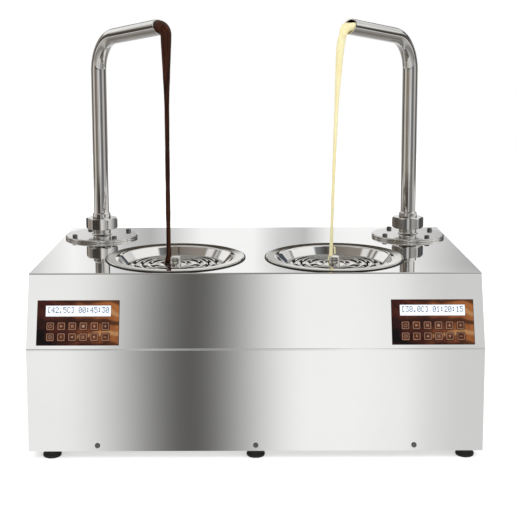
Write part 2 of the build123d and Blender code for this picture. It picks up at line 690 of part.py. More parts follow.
def gearmotors():
    """Hollow-shaft gearmotors standing on the tray under the barrels."""
    motor = post(MOTOR_RADIUS, TRAY_TOP, TRAY_TOP + MOTOR_HEIGHT)
    motor += block(GEARBOX_SIZE, GEARBOX_SIZE, TRAY_TOP + MOTOR_HEIGHT, GEARBOX_TOP, GEARBOX_CORNER)
    socket_depth = SHAFT_ENGAGEMENT + SHAFT_END_GAP
    motor -= post(SHAFT_RADIUS + SHAFT_FIT, GEARBOX_TOP - socket_depth, GEARBOX_TOP + socket_depth)
    return on_both_sides(lambda side: Pos(side * PUMP_X, PUMP_Y, 0) * motor)


def suction_hoses():
    """Hoses from the tanks' outlets to the barrels' side ports."""
    path = FilletPolyline(
        (PUMP_TO_BOWL, SPIGOT_END + HOSE_OVERLAP - TOP_Z),
        (PUMP_TO_BOWL, PORT_Z - TOP_Z),
        (BARREL_RADIUS + PORT_LENGTH - HOSE_OVERLAP, PORT_Z - TOP_Z),
        radius=HOSE_BEND,
    )
    section = Circle(HOSE_RADIUS) - Circle(HOSE_BORE)
    hose = sweep(Plane(path @ 0, x_dir=(0, 0, 1), z_dir=path % 0) * section, path=path)
    return on_both_sides(lambda side: spout_plane(side) * hose)


# Control panels
def control_panels():
    """Printed front film on a moulded carrier that plugs into the slope's cut-out."""
    carrier_width = PANEL_WIDTH - 2 * PANEL_LIP
    carrier_height = PANEL_HEIGHT - 2 * PANEL_LIP
    panel = block(PANEL_WIDTH, PANEL_HEIGHT, 0, PANEL_FILM, PANEL_CORNER)
    panel += block(carrier_width, carrier_height, -PANEL_DEPTH, 0)
    window = block(WINDOW_WIDTH, WINDOW_HEIGHT, -2 * PANEL_DEPTH, 2 * PANEL_DEPTH)
    panel -= window_place() * window
    hole_size = KEY_SIZE + 2 * KEY_GAP
    hole = block(hole_size, hole_size, -2 * PANEL_DEPTH, 2 * PANEL_DEPTH, KEY_CORNER + KEY_GAP)
    for x, y in key_places():
        panel -= Pos(x, y) * hole
    for x, y in board_posts():
        panel += Pos(x, y) * post(POST_RADIUS, -BOARD_DEPTH, -PANEL_DEPTH)
    return on_both_sides(lambda side: panel_plane(side) * panel)


def board_posts():
    x = PANEL_WIDTH / 2 - PANEL_LIP - POST_INSET
    y = PANEL_HEIGHT / 2 - PANEL_LIP - POST_INSET
    return [(-x, -y), (-x, y), (x, -y), (x, y)]


def displays():
    width = WINDOW_WIDTH - 2 * PANEL_GAP
    height = WINDOW_HEIGHT - 2 * PANEL_GAP
    glass = block(width, height, -PANEL_DEPTH, PANEL_FILM - DISPLAY_RECESS)
    module = block(
        WINDOW_WIDTH + 2 * DISPLAY_BORDER,
        WINDOW_HEIGHT + 2 * DISPLAY_BORDER,
        -PANEL_DEPTH - DISPLAY_DEPTH,
        -PANEL_DEPTH,
    )
    display = window_place() * (glass + module)
    return on_both_sides(lambda side: panel_plane(side) * display)


def control_boards():
    """Circuit boards with a push switch behind each key."""
    width = PANEL_WIDTH - 2 * PANEL_LIP
    height = PANEL_HEIGHT - 2 * PANEL_LIP
    board = block(width, height, -BOARD_DEPTH - BOARD_THICKNESS, -BOARD_DEPTH)
    switch = block(SWITCH_SIZE, SWITCH_SIZE, -BOARD_DEPTH, -BOARD_DEPTH + SWITCH_HEIGHT)
    switch -= post(KEY_STEM_RADIUS + SWITCH_STEM_GAP, -BOARD_DEPTH, 0)
    for x, y in key_places():
        board += Pos(x, y) * switch
    return on_both_sides(lambda side: panel_plane(side) * board)


def key(side, place):
    """Key cap with a flange that stops it behind the panel and a stem into its switch."""
    flange_size = KEY_SIZE + 2 * KEY_GAP + 2 * KEY_FLANGE
    cap = block(KEY_SIZE, KEY_SIZE, -PANEL_DEPTH, PANEL_FILM + KEY_PROUD, KEY_CORNER)
    cap += block(flange_size, flange_size, -KEY_DEPTH, -PANEL_DEPTH)
    cap += post(KEY_STEM_RADIUS, -KEY_DEPTH - KEY_STEM_LENGTH, -KEY_DEPTH)
    return panel_plane(side) * Pos(*place) * cap


# Rear fittings
def power_inlet():
    """Mains inlet: a flanged socket with three flat pins."""
    outer = block(INLET_WIDTH, INLET_HEIGHT, -INLET_DEPTH, 0)
    flange_width = INLET_WIDTH + 2 * INLET_FLANGE
    flange = block(flange_width, INLET_HEIGHT + 2 * INLET_WALL, 0, INLET_PLATE, INLET_WALL)
    floor = INLET_WALL - INLET_DEPTH
    cavity = block(INLET_WIDTH - 2 * INLET_WALL, INLET_HEIGHT - 2 * INLET_WALL, floor, 2 * INLET_PLATE)
    inlet = outer + flange - cavity
    pin = block(PIN_WIDTH, PIN_HEIGHT, floor, floor + PIN_LENGTH)
    for column in (-1, 0, 1):
        inlet += Pos(column * PIN_SPACING, -PIN_DROP) * pin
    return rear_plane(INLET_X, INLET_Z) * inlet


def switch_frame():
    width = ROCKER_HOLE_WIDTH + 2 * ROCKER_FRAME_WALL
    height = ROCKER_HOLE_HEIGHT + 2 * ROCKER_FRAME_WALL
    frame = block(width, height, -ROCKER_FRAME_DEPTH - ROCKER_FRAME_WALL, 0)
    lip = 2 * ROCKER_FRAME_LIP
    frame += block(width + lip, height + lip, 0, INLET_PLATE, ROCKER_FRAME_WALL)
    frame -= block(ROCKER_HOLE_WIDTH, ROCKER_HOLE_HEIGHT, -ROCKER_FRAME_DEPTH, 2 * INLET_PLATE)
    return rear_plane(SWITCH_X, INLET_Z) * frame


def switch_rocker():
    """Rocker with a dished face over a round back, shown in its off position."""
    half = ROCKER_HALF_HEIGHT
    face = Polygon(
        (-half, 0),
        (-half, ROCKER_FACE),
        (0, ROCKER_FACE - ROCKER_DIP),
        (half, ROCKER_FACE),
        (half, 0),
        align=None,
    )
    profile = Rot(0, 0, -ROCKER_TILT) * (face + Circle(half))
    rocker = extrude(Plane.YZ * profile, ROCKER_WIDTH / 2, both=True)
    turn_out = Plane((0, 0, -ROCKER_SINK), x_dir=(1, 0, 0), z_dir=(0, 0, 1))
    return rear_plane(SWITCH_X, INLET_Z) * turn_out * rocker


def nodes():
    """Every piece of the fountain by name."""
    pieces = {
        "case_cover": case_cover(),
        "side_panels": side_panels(),
        "base_tray": base_tray(),
        "rear_panel": rear_panel(),
        "feet": feet(),
        "case_screws": case_screws(),
        "tank_heaters": tank_heaters(),
        "pump_flanges": pump_flanges(),
        "flange_screws": flange_screws(),
        "spout_seals": spout_seals(),
        "pump_barrels": pump_barrels(),
        "gearmotors": gearmotors(),
        "suction_hoses": suction_hoses(),
        "control_panels": control_panels(),
        "displays": displays(),
        "control_boards": control_boards(),
        "power_inlet": power_inlet(),
        "switch_frame": switch_frame(),
        "switch_rocker": switch_rocker(),
    }
    for name, side in SIDES.items():
        pieces[f"{name}_basin"] = basin(side)
        pieces[f"{name}_drain_grid"] = drain_grid(side)
        pieces[f"{name}_grid_knob"] = grid_knob(side)
        pieces[f"{name}_spout"] = spout(side)
        pieces[f"{name}_spout_collar"] = spout_collar(side)
        pieces[f"{name}_union_nut"] = union_nut(side)
        pieces[f"{name}_stream"] = stream(name)
        pieces[f"{name}_auger"] = auger(side)
        for number, place in enumerate(key_places(), start=1):
            pieces[f"{name}_key_{number}"] = key(side, place)
    return pieces


os.makedirs("parts", exist_ok=True)
for node_name, piece in nodes().items():
    export_step(piece, f"parts/{node_name}.step")
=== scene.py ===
import json
import math

import bmesh
import bpy
from mathutils import Matrix, Vector


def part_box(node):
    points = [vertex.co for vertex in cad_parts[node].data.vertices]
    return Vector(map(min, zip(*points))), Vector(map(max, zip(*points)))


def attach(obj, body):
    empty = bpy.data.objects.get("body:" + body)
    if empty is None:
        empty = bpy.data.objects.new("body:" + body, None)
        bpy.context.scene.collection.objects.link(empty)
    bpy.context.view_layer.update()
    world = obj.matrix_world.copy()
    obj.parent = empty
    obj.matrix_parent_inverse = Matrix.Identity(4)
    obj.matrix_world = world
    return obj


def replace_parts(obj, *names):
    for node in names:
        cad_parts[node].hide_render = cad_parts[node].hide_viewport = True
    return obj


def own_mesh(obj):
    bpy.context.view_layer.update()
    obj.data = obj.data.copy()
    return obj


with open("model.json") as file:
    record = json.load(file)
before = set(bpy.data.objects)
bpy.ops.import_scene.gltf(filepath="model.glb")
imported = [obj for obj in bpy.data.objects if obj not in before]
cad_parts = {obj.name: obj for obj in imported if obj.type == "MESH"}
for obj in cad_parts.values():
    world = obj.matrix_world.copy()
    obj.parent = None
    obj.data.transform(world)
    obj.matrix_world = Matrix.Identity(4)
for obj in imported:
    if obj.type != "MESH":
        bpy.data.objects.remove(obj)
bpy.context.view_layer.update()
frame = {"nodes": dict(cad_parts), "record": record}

# Lengths are in metres
NODES = frame["nodes"]
SLOTS = {part["node"]: part["material_slot"] for part in frame["record"]["subparts"]}
SIDES = {"left": -1, "right": 1}
UP = Vector((0, 0, 1))
PLATE_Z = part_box("case_cover")[1].z

# Camera at the photograph's angle, with its focal length in pixels of a picture 516 wide
PICTURE_WIDTH, FOCAL_PIXELS, SENSOR_WIDTH = 516, 1054.8, 36
CAMERA_PLACE = (-0.003, -1.6783, 0.6037)
CAMERA_PITCH, CAMERA_ROLL = 0.13, math.radians(0.155)
CAMERA_SHIFT = (0.0098, -0.1504)

# Edges that several pieces have, and how far beside a rounded corner its support points lie
FINE_EDGE, SMALL_EDGE = 0.0004, 0.0006
SUPPORT_SHARE = 0.3

# Feet, with heights above the floor
FOOT_XS, FOOT_YS = (-0.299, 0.0, 0.307), (-0.192, 0.192)
FOOT_BASE, FOOT_TOP, FOOT_FLAT = 0.0135, 0.0115, 0.004
FOOT_SIDE, FOOT_WAIST, FOOT_HEIGHT = 0.004, 0.006, 0.0125
FOOT_EDGE, WAIST_EDGE = 0.002, 0.001

# Bowls: where painted shade, the rim's painted reflection and its duller steel begin, as distances from a
# bowl's axis
BOWL_X, BOWL_Y = 0.124, -0.060
RING_EDGE, JOINT_EDGE, RIM_EDGE = (0.0675, 0.0700), (0.0775, 0.0800), (0.0905, 0.0925)
# The rim's radius, and a black rubber bead at its foot, put there to draw the dark shadow line under its edge
RIM_RADIUS, BEAD_RADIUS = 0.108, 0.0009
BEAD_OUT, BEAD_RISE = BEAD_RADIUS / 3, BEAD_RADIUS * 0.7

# Pump flange, union nut and spout collar: radii, and heights above the plate
FLANGE_RADIUS, FLANGE_THICKNESS, FLANGE_EDGE = 0.062, 0.005, 0.0018
NECK_RADIUS, NECK_FILLET, NUT_SKIRT = 0.015, 0.003, 0.0015
UNION_RADIUS, UNION_TOP = 0.020, 0.026
COLLAR_RADIUS, COLLAR_FOOT, SHOULDER_TOP, COLLAR_TOP = 0.0152, 0.0275, 0.030, 0.042
SHOULDER_FILLET, COLLAR_EDGE = 0.0005, 0.0007
WELD_RADIUS, WELD_RISE, WELD_EDGE = 0.0138, 0.0016, 0.0003
NUT_FLAT, NUT_CHAMFER, NUT_LIP, NUT_BULGE = 0.02380, 0.0019, 0.0045, 0.0006
NUT_CORNER_SHARE, NUT_FACE_SHARE, ANGLE_TOLERANCE = 0.985, 1.004, 1e-6
TURN_GAP = 0.0004

# Flange screws: cap heads with a hexagon socket, whose rim is given as shares of the socket's radius
SCREW_CIRCLE, SCREW_TURN, SCREW_COUNT = 0.050, math.radians(32), 4
HEAD_RADIUS, HEAD_HEIGHT, HEAD_TURNS = 0.00425, 0.004, 48
SOCKET_RADIUS, SOCKET_DEPTH, SOCKET_BREAK = 0.0022, 0.0022, 0.0002
LAND_SHARE, FLARE_SHARE = 1.2, 1.08

# Spouts, with heights above the plate
TUBE_RADIUS, TUBE_BORE, TUBE_TURNS = 0.0127, 0.0112, 64
TIP_HEIGHT, SPOUT_RISE, SPOUT_BEND, SPOUT_STEPS = 0.357, 0.018, 0.060, 24
LIP_EDGE, MOUTH_RAKE = 0.0003, math.radians(25)

# Streams: a plug in the mouth, a bend over its lip and a fall to the grid, whose top lies below the plate
KNOB_RADIUS, LANDING_GAP, FALL_OFFSET = 0.00825, 0.0112, 0.017
PLUG_LENGTH, PLUG_GAP, PLUG_SHARES = 0.010, 0.0003, (1.0, 0.66, 0.33, 0.0)
LIP_DROP, LIP_STEPS, LIP_NARROWING, LIP_TWIST = 0.014, 12, 0.5, 0.3
NECK_DROP, FALL_STEPS, STREAM_TURNS = 0.070, 60, 40
GRID_TOP, GRID_GAP, GRID_LIFT = -0.0094, 0.0004, 0.060
# Each stream's radius under the lip and near the grid, its drift along and across the arm, its mouth's fill
STREAM = {"left": (0.0084, 0.0033, 0.0, 0.0, 1.0), "right": (0.0062, 0.0028, 0.0045, 0.0170, 0.55)}
# Waves round a stream as size, lobes and twist, ripples down it as size, rate and phase, and its landing
WAVES = ((0.10, 2, 9), (0.04, 3, -5))
RIPPLES = ((0.05, 95, 1.3), (0.03, 210, 0.0))
LANDING_SPREAD, LANDING_DEPTH = 0.9, 0.0016

# Control panels on the sloping front, and how close to a node's front its outer face's points lie
PANEL_OUT, PANEL_UP = Vector((0, -104, 36)).normalized(), Vector((0, 36, 104)).normalized()
PANEL_X, PANEL_WIDTH = 0.256, 0.119
PANEL_Z, PANEL_RISE = 0.2009, 0.0614
FACE_DEPTH = 1e-5
# A key cap's rings as half width, corner radius and height over the node's outer face, and its printed frame
KEY_LEVELS = (
    (0.0060, 0.0016, -0.0014), (0.0060, 0.0016, -0.00025), (0.00585, 0.0015, 0.00002),
    (0.0054, 0.0012, 0.0002), (0.0040, 0.0008, 0.00032), (0.0020, 0.0004, 0.0004),
)
KEY_FRAME = ((0.0051, 0.0012), (0.0044, 0.0009))
FRAME_HEIGHTS, SIGN_HEIGHTS, DOT_HEIGHTS = (0.00015, 0.0004), (0.0002, 0.0005), (0.00002, 0.00012)
TEXT = {"left": "[42.5C] 00:45:30", "right": "[38.0C] 01:20:15"}
CELL_WIDTH, DOT_WIDTH, DOT_PITCH, DOT_FILL = 0.0056, 0.00094, 0.00122, 0.88
TEXT_TOP = 0.0026

# Printed film: how much its tone changes across it, up it and with its folds
PRINT_SWEEP, PRINT_LIFT, PRINT_FOLD = 0.72, 0.34, 0.85
PRINT_TONES = (
    (0.06, (0.004, 0.0025, 0.0025)), (0.24, (0.043, 0.0095, 0.007)), (0.42, (0.10, 0.028, 0.012)),
    (0.62, (0.21, 0.066, 0.022)), (0.90, (0.335, 0.117, 0.033)),
)
# The print's dark tone, also used for the painted shade line at the film's side edges, and the cream of its
# ribbons
PRINT_AND_EDGE_SHADE, PRINT_CREAM = (0.016, 0.0055, 0.004, 1.0), (0.44, 0.235, 0.10, 1.0)
SHADE_WAVE, CREAM_WAVE, CREAM_TONES = (0.30, 0.0), (0.86, 1.0), (0.30, 0.55)
PRINT_STRENGTH, PRINT_GLOSS, PRINT_GRAIN = 0.75, 0.12, 0.05
# Span of the painted shade line along the film's side edges, where the edge meets the panel
EDGE_SHADE_SPAN = (0.0010, 0.0004)

# Surfaces: a painted crevice shade and the grid ring's share of it, a bowl's roughness, and a fine grain's
# depth
CREVICE_SHADE, RING_SHADE_SHARE = (0.06, 0.055, 0.05, 1.0), 0.75
RIM_ROUGHNESS, SMUDGE_ROUGHNESS = 0.05, 0.07
GRAIN_DEPTH = 0.0002


# Node trees
def add(tree, kind, inputs=None, **settings):
    """A new shader node; inputs take constants or other nodes' sockets."""
    node = tree.nodes.new("ShaderNode" + kind)
    for name, value in settings.items():
        setattr(node, name, value)
    for name, value in (inputs or {}).items():
        if isinstance(value, bpy.types.NodeSocket):
            tree.links.new(value, node.inputs[name])
        else:
            node.inputs[name].default_value = value
    return node


def math_node(tree, operation, first, second=0.0):
    return add(tree, "Math", {0: first, 1: second}, operation=operation).outputs[0]


def spread(tree, value, low, high):
    """Maps a 0 to 1 value to another range."""
    return add(tree, "MapRange", {"Value": value, "To Min": low, "To Max": high}).outputs["Result"]


def step(tree, value, low, high):
    """0 at low and 1 at high, with a soft change between them; low may be the larger one."""
    inputs = {"Value": value, "From Min": low, "From Max": high}
    return add(tree, "MapRange", inputs, interpolation_type="SMOOTHSTEP").outputs["Result"]


def blend(tree, factor, first, second):
    inputs = {"Factor": factor, "A": first, "B": second}
    return add(tree, "Mix", inputs, data_type="RGBA").outputs["Result"]


def ramp(tree, value, stops, interpolation="LINEAR"):
    """A colour ramp from (place, colour) stops."""
    node = add(tree, "ValToRGB", {"Fac": value})
    node.color_ramp.interpolation = interpolation
    elements = node.color_ramp.elements
    elements[0].position, elements[1].position = stops[0][0], stops[-1][0]
    for place, _ in stops[1:-1]:
        elements.new(place)
    for element, (_, colour) in zip(elements, stops):
        element.color = (*colour, 1.0)
    return node.outputs["Color"]


def seen_directly(tree):
    """1 for rays from the camera or through glass."""
    path = add(tree, "LightPath").outputs
    return math_node(tree, "MAXIMUM", path["Is Camera Ray"], path["Is Transmission Ray"])


class Surface:
    """A material with a Principled shader and its object coordinates at hand."""

    def __init__(self, name, **constants):
        self.material = bpy.data.materials.new(name)
        self.material.use_nodes = True
        self.tree = self.material.node_tree
        self.shader = self.tree.nodes["Principled BSDF"]
        self.place = add(self.tree, "TexCoord").outputs["Object"]
        for socket, value in constants.items():
            self.set(socket, value)

    def set(self, socket, value):
        name = socket.replace("_", " ")
        if isinstance(value, bpy.types.NodeSocket):
            self.tree.links.new(value, self.shader.inputs[name])
        else:
            self.shader.inputs[name].default_value = value

    def noise(self, scale, stretch=(1, 1, 1), detail=3.0, distortion=0.0):
        place = add(self.tree, "Mapping", {"Vector": self.place, "Scale": stretch}).outputs["Vector"]
        inputs = {"Vector": place, "Scale": scale, "Detail": detail, "Distortion": distortion}
        return add(self.tree, "TexNoise", inputs).outputs["Fac"]

    def shades(self, value, dark, light):
        return ramp(self.tree, value, ((0.25, dark), (0.75, light)))

    def tint(self, value, dark, light):
        self.set("Base_Color", self.shades(value, dark, light))

    def rough(self, value, low, high):
        self.set("Roughness", spread(self.tree, value, low, high))

    def bump(self, height, strength, distance):
        inputs = {"Height": height, "Strength": strength, "Distance": distance}
        self.set("Normal", add(self.tree, "Bump", inputs).outputs["Normal"])


# Materials
def sheet_steel():
    """Bright sheet with a faint grain along the case's length."""
    steel = Surface("sheet_steel", Metallic=1.0)
    grain = steel.noise(60, (0.05, 14, 14), detail=4)
    smudge = steel.noise(5, detail=4)
    steel.tint(smudge, (0.84, 0.84, 0.83), (0.88, 0.88, 0.87))
    both = math_node(steel.tree, "ADD", grain, smudge)
    steel.rough(math_node(steel.tree, "MULTIPLY", both, 0.5), 0.01, 0.06)
    steel.bump(grain, 0.01, GRAIN_DEPTH)
    return steel.material


def polished(name):
    """A polished steel with faint dents, and its smudges."""
    steel = Surface(name, Metallic=1.0)
    steel.bump(steel.noise(140, detail=2), 0.02, GRAIN_DEPTH)
    return steel, steel.noise(30, detail=5)


def polished_steel():
    steel, smudge = polished("polished_steel")
    steel.tint(smudge, (0.72, 0.71, 0.69), (0.79, 0.78, 0.76))
    steel.rough(smudge, 0.02, 0.07)
    return steel.material


def bowl_distance(steel):
    """Distance from the axis of the nearer bowl."""
    tree = steel.tree
    split = add(tree, "SeparateXYZ", {"Vector": steel.place}).outputs
    across = math_node(tree, "SUBTRACT", math_node(tree, "ABSOLUTE", split["X"]), BOWL_X)
    along = math_node(tree, "SUBTRACT", split["Y"], BOWL_Y)
    offset = add(tree, "CombineXYZ", {"X": across, "Y": along, "Z": 0.0}).outputs["Vector"]
    return add(tree, "VectorMath", {0: offset}, operation="LENGTH").outputs["Value"]


def bowl_steel():
    """Polished bowl: a duller rim tinted with a painted reflection, and painted shade in the crevice round
    the grid.
    """
    steel, smudge = polished("bowl_steel")
    tree = steel.tree
    distance = bowl_distance(steel)
    rim = step(tree, distance, *RIM_EDGE)
    # Painted shade: a dark ring in the crevice where the wall meets the ledge round the grid
    joint_shade = step(tree, distance, *JOINT_EDGE)
    wall = steel.shades(smudge, (0.82, 0.81, 0.79), (0.88, 0.87, 0.85))
    # Painted reflection: the rim's warmer, darker tint stands in for what the rim reflects
    painted_rim_reflection = steel.shades(smudge, (0.66, 0.64, 0.58), (0.80, 0.78, 0.73))
    steel.set("Base_Color", blend(tree, rim, blend(tree, joint_shade, CREVICE_SHADE, wall), painted_rim_reflection))
    rim_part = math_node(tree, "MULTIPLY", rim, RIM_ROUGHNESS)
    smudge_part = math_node(tree, "MULTIPLY", smudge, SMUDGE_ROUGHNESS)
    steel.set("Roughness", math_node(tree, "ADD", rim_part, smudge_part))
    return steel.material


def grid_steel():
    """Polished grid whose outer ring is darkened with painted shade, as in a shadowed recess."""
    steel, smudge = polished("grid_steel")
    tree = steel.tree
    unshaded_steel = steel.shades(smudge, (0.66, 0.65, 0.62), (0.75, 0.74, 0.71))
    # Painted shade: the outer ring is darkened towards the crevice tone
    ring = math_node(tree, "MULTIPLY", step(tree, bowl_distance(steel), *RING_EDGE), RING_SHADE_SHARE)
    steel.set("Base_Color", blend(tree, ring, unshaded_steel, CREVICE_SHADE))
    steel.rough(smudge, 0.02, 0.08)
    return steel.material


def plain_steel(name, dark, light, roughness):
    steel = Surface(name, Metallic=1.0)
    smudge = steel.noise(300, detail=4)
    steel.tint(smudge, dark, light)
    steel.rough(smudge, *roughness)
    return steel.material


def moulded(name, dark, light, roughness, grain_strength=0.15, gloss=0.5):
    """Moulded plastic or rubber with a fine grain."""
    plastic = Surface(name, Specular_IOR_Level=gloss)
    grain = plastic.noise(900, detail=3)
    plastic.tint(plastic.noise(40, detail=4), dark, light)
    plastic.rough(grain, *roughness)
    plastic.bump(grain, grain_strength, GRAIN_DEPTH)
    return plastic.material


def printed(name, dark, light, roughness):
    return moulded(name, dark, light, roughness, PRINT_GRAIN, PRINT_GLOSS)


def chocolate(name, dark, light, roughness, gloss, subsurface):
    """Melted chocolate with streaks along its fall."""
    melt = Surface(name, Specular_IOR_Level=gloss, Subsurface_Weight=subsurface)
    melt.set("Subsurface_Radius", (0.006, 0.003, 0.0015))
    melt.set("Subsurface_Scale", 1.0)
    flow = melt.noise(45, (6, 6, 0.35), detail=3, distortion=0.4)
    melt.tint(flow, dark, light)
    melt.rough(flow, roughness * 0.8, roughness * 1.2)
    melt.bump(flow, 0.25, 0.0012)
    return melt.material


def display_glass():
    glass = Surface("display_glass", Roughness=0.12, Specular_IOR_Level=0.3)
    glow = glass.noise(25, detail=2)
    colour = ramp(glass.tree, glow, ((0.2, (0.82, 0.88, 0.95)), (0.8, (0.88, 0.92, 0.97))))
    glass.set("Base_Color", colour)
    glass.set("Emission_Color", colour)
    glass.set("Emission_Strength", 0.12)
    return glass.material


def panel_print():
    """Printed film: folds from near black at the lower left to copper, cream ribbons, and a painted shade
    line at its sides.
    """
    film = Surface("panel_print", Specular_IOR_Level=PRINT_GLOSS)
    tree = film.tree
    split = add(tree, "SeparateXYZ", {"Vector": film.place}).outputs
    panel_x = math_node(tree, "MULTIPLY", math_node(tree, "SIGN", split["X"]), PANEL_X)
    across = math_node(tree, "SUBTRACT", split["X"], panel_x)
    rise = math_node(tree, "SUBTRACT", split["Z"], PANEL_Z)
    local = add(tree, "CombineXYZ", {"X": across, "Y": 0.0, "Z": rise}).outputs["Vector"]
    fold_inputs = {"Vector": local, "Scale": 24.0, "Detail": 3.0, "Distortion": 1.4}
    fold = add(tree, "TexNoise", fold_inputs).outputs["Fac"]
    sweep = math_node(tree, "MULTIPLY", across, PRINT_SWEEP / PANEL_WIDTH)
    lift = math_node(tree, "MULTIPLY", rise, PRINT_LIFT / PANEL_RISE)
    slope = math_node(tree, "ADD", sweep, lift)
    tone = math_node(tree, "ADD", slope, math_node(tree, "MULTIPLY", fold, PRINT_FOLD))
    wave_inputs = {"Vector": local, "Scale": 11.0, "Distortion": 5.0, "Detail": 2.0, "Detail Scale": 1.3}
    wave = add(tree, "TexWave", wave_inputs, bands_direction="Z").outputs["Fac"]
    shade = math_node(tree, "MULTIPLY", step(tree, wave, *SHADE_WAVE), PRINT_STRENGTH)
    shaded = blend(tree, shade, ramp(tree, tone, PRINT_TONES), PRINT_AND_EDGE_SHADE)
    gleam = math_node(tree, "MULTIPLY", step(tree, wave, *CREAM_WAVE), step(tree, tone, *CREAM_TONES))
    ribbons = blend(tree, math_node(tree, "MULTIPLY", gleam, PRINT_STRENGTH), shaded, PRINT_CREAM)
    # Painted shade: a thin dark line along the film's left and right edges
    inset = math_node(tree, "SUBTRACT", PANEL_WIDTH / 2, math_node(tree, "ABSOLUTE", across))
    film.set("Base_Color", blend(tree, step(tree, inset, *EDGE_SHADE_SPAN), ribbons, PRINT_AND_EDGE_SHADE))
    grain = film.noise(700, detail=2)
    film.rough(grain, 0.30, 0.40)
    film.bump(grain, PRINT_GRAIN, 0.0001)
    return film.material


MATERIALS = {
    "satin_steel": sheet_steel(),
    "polished_steel": polished_steel(),
    "screw_steel": plain_steel("screw_steel", (0.14, 0.14, 0.14), (0.24, 0.24, 0.24), (0.10, 0.22)),
    "black_rubber": moulded("black_rubber", (0.008, 0.008, 0.008), (0.016, 0.016, 0.016), (0.45, 0.65)),
    "hose_silicone": moulded("hose_silicone", (0.66, 0.63, 0.58), (0.74, 0.71, 0.66), (0.35, 0.5)),
    "panel_film": panel_print(),
    "display_glass": display_glass(),
    "circuit_board": moulded("circuit_board", (0.02, 0.14, 0.05), (0.03, 0.20, 0.08), (0.3, 0.45)),
    "dark_chocolate": chocolate(
        "dark_chocolate", (0.0055, 0.0017, 0.0010), (0.070, 0.020, 0.0085),
        roughness=0.24, gloss=0.14, subsurface=0.02,
    ),
    "white_chocolate": chocolate(
        "white_chocolate", (0.92, 0.79, 0.42), (0.97, 0.91, 0.58),
        roughness=0.32, gloss=0.35, subsurface=0.12,
    ),
    "motor_paint": moulded("motor_paint", (0.05, 0.055, 0.06), (0.08, 0.085, 0.09), (0.35, 0.5)),
    "heater_metal": plain_steel("heater_metal", (0.52, 0.52, 0.53), (0.62, 0.62, 0.63), (0.3, 0.45)),
    "black_plastic": moulded("black_plastic", (0.012, 0.012, 0.012), (0.022, 0.022, 0.022), (0.35, 0.5)),
}
NODE_LOOKS = dict.fromkeys(("left_basin", "right_basin"), bowl_steel())
NODE_LOOKS |= dict.fromkeys(("left_drain_grid", "right_drain_grid"), grid_steel())
FLANGE_STEEL = plain_steel("flange_steel", (0.66, 0.65, 0.63), (0.80, 0.79, 0.77), (0.08, 0.18))
KEY_CAP = printed("key_cap", (0.035, 0.007, 0.003), (0.15, 0.039, 0.0095), (0.32, 0.42))
KEY_INK = printed("key_ink", (0.28, 0.18, 0.13), (0.36, 0.25, 0.195), (0.4, 0.5))
SEGMENT_INK = printed("segment_ink", (0.024, 0.039, 0.094), (0.039, 0.063, 0.13), (0.4, 0.5))


def dress_nodes():
    """Gives every CAD node its own look or the material of its slot in the record."""
    for node, slot in SLOTS.items():
        materials = NODES[node].data.materials
        materials.clear()
        materials.append(NODE_LOOKS.get(node, MATERIALS[slot]))


# Shapes: each is a pair of points and faces
def rounded(corners, steps=5, held=True):
    """Outline through (x, y, radius) corners, rounded; held ones get a support point on either side."""
    outline = []
    for index, (x, y, radius) in enumerate(corners):
        here = Vector((x, y))
        if not radius:
            outline.append(here)
            continue
        before = (Vector(corners[index - 1][:2]) - here).normalized()
        after = (Vector(corners[(index + 1) % len(corners)][:2]) - here).normalized()
        half = before.angle(after) / 2
        reach = radius / math.tan(half)
        support = reach + radius * SUPPORT_SHARE
        centre = here + (before + after).normalized() * radius / math.sin(half)
        start = here + before * reach - centre
        end = here + after * reach - centre
        bend = [centre + start.slerp(end, count / steps).normalized() * radius for count in range(steps + 1)]
        outline += [here + before * support, *bend, here + after * support] if held else bend
    return outline


def circle(radius, turns, phase=0.0):
    angles = [phase + 2 * math.pi * turn / turns for turn in range(turns)]
    return [Vector((radius * math.cos(angle), radius * math.sin(angle))) for angle in angles]


def level_ring(outline, z):
    return [Vector((point[0], point[1], z)) for point in outline]


def skin(rings, loop=False):
    """Quads between rings of equal length, with the ends closed by flat faces or, in a loop, joined."""
    count = len(rings[0])
    points = [point for ring in rings for point in ring]
    faces = []
    for level in range(len(rings) if loop else len(rings) - 1):
        low, high = level * count, (level + 1) % len(rings) * count
        for index in range(count):
            following = (index + 1) % count
            faces.append((low + index, low + following, high + following, high + index))
    if not loop:
        faces.append(tuple(range(count)))
        faces.append(tuple(range(len(points) - count, len(points))))
    return points, faces


def lathe(outline, turns=96):
    """A ring turned about Z from a closed outline of (radius, height) points."""
    return skin([level_ring(circle(radius, turns), z) for radius, z in outline], loop=True)


def spindle(outline, turns):
    """A solid turned about Z from an open outline that runs from one flat end to the other."""
    return skin([level_ring(circle(radius, turns), z) for radius, z in outline])


def prism(outline, low, high):
    return skin([level_ring(outline, z) for z in (low, high)])


def band(outer, inner, low, high):
    """A flat ring between two outlines of equal length."""
    levels = ((outer, low), (outer, high), (inner, high), (inner, low))
    return skin([level_ring(outline, z) for outline, z in levels], loop=True)


def merged(shapes):
    points, faces = [], []
    for shape_points, shape_faces in shapes:
        offset = len(points)
        points += shape_points
        faces += [tuple(index + offset for index in face) for face in shape_faces]
    return points, faces


def moved(shape, place):
    """The shape at another place, given as a vector or a matrix."""
    matrix = place if isinstance(place, Matrix) else Matrix.Translation(place)
    return [matrix @ point for point in shape[0]], shape[1]


def linked(name, data):
    """A new object in the scene."""
    thing = bpy.data.objects.new(name, data)
    bpy.context.scene.collection.objects.link(thing)
    return thing


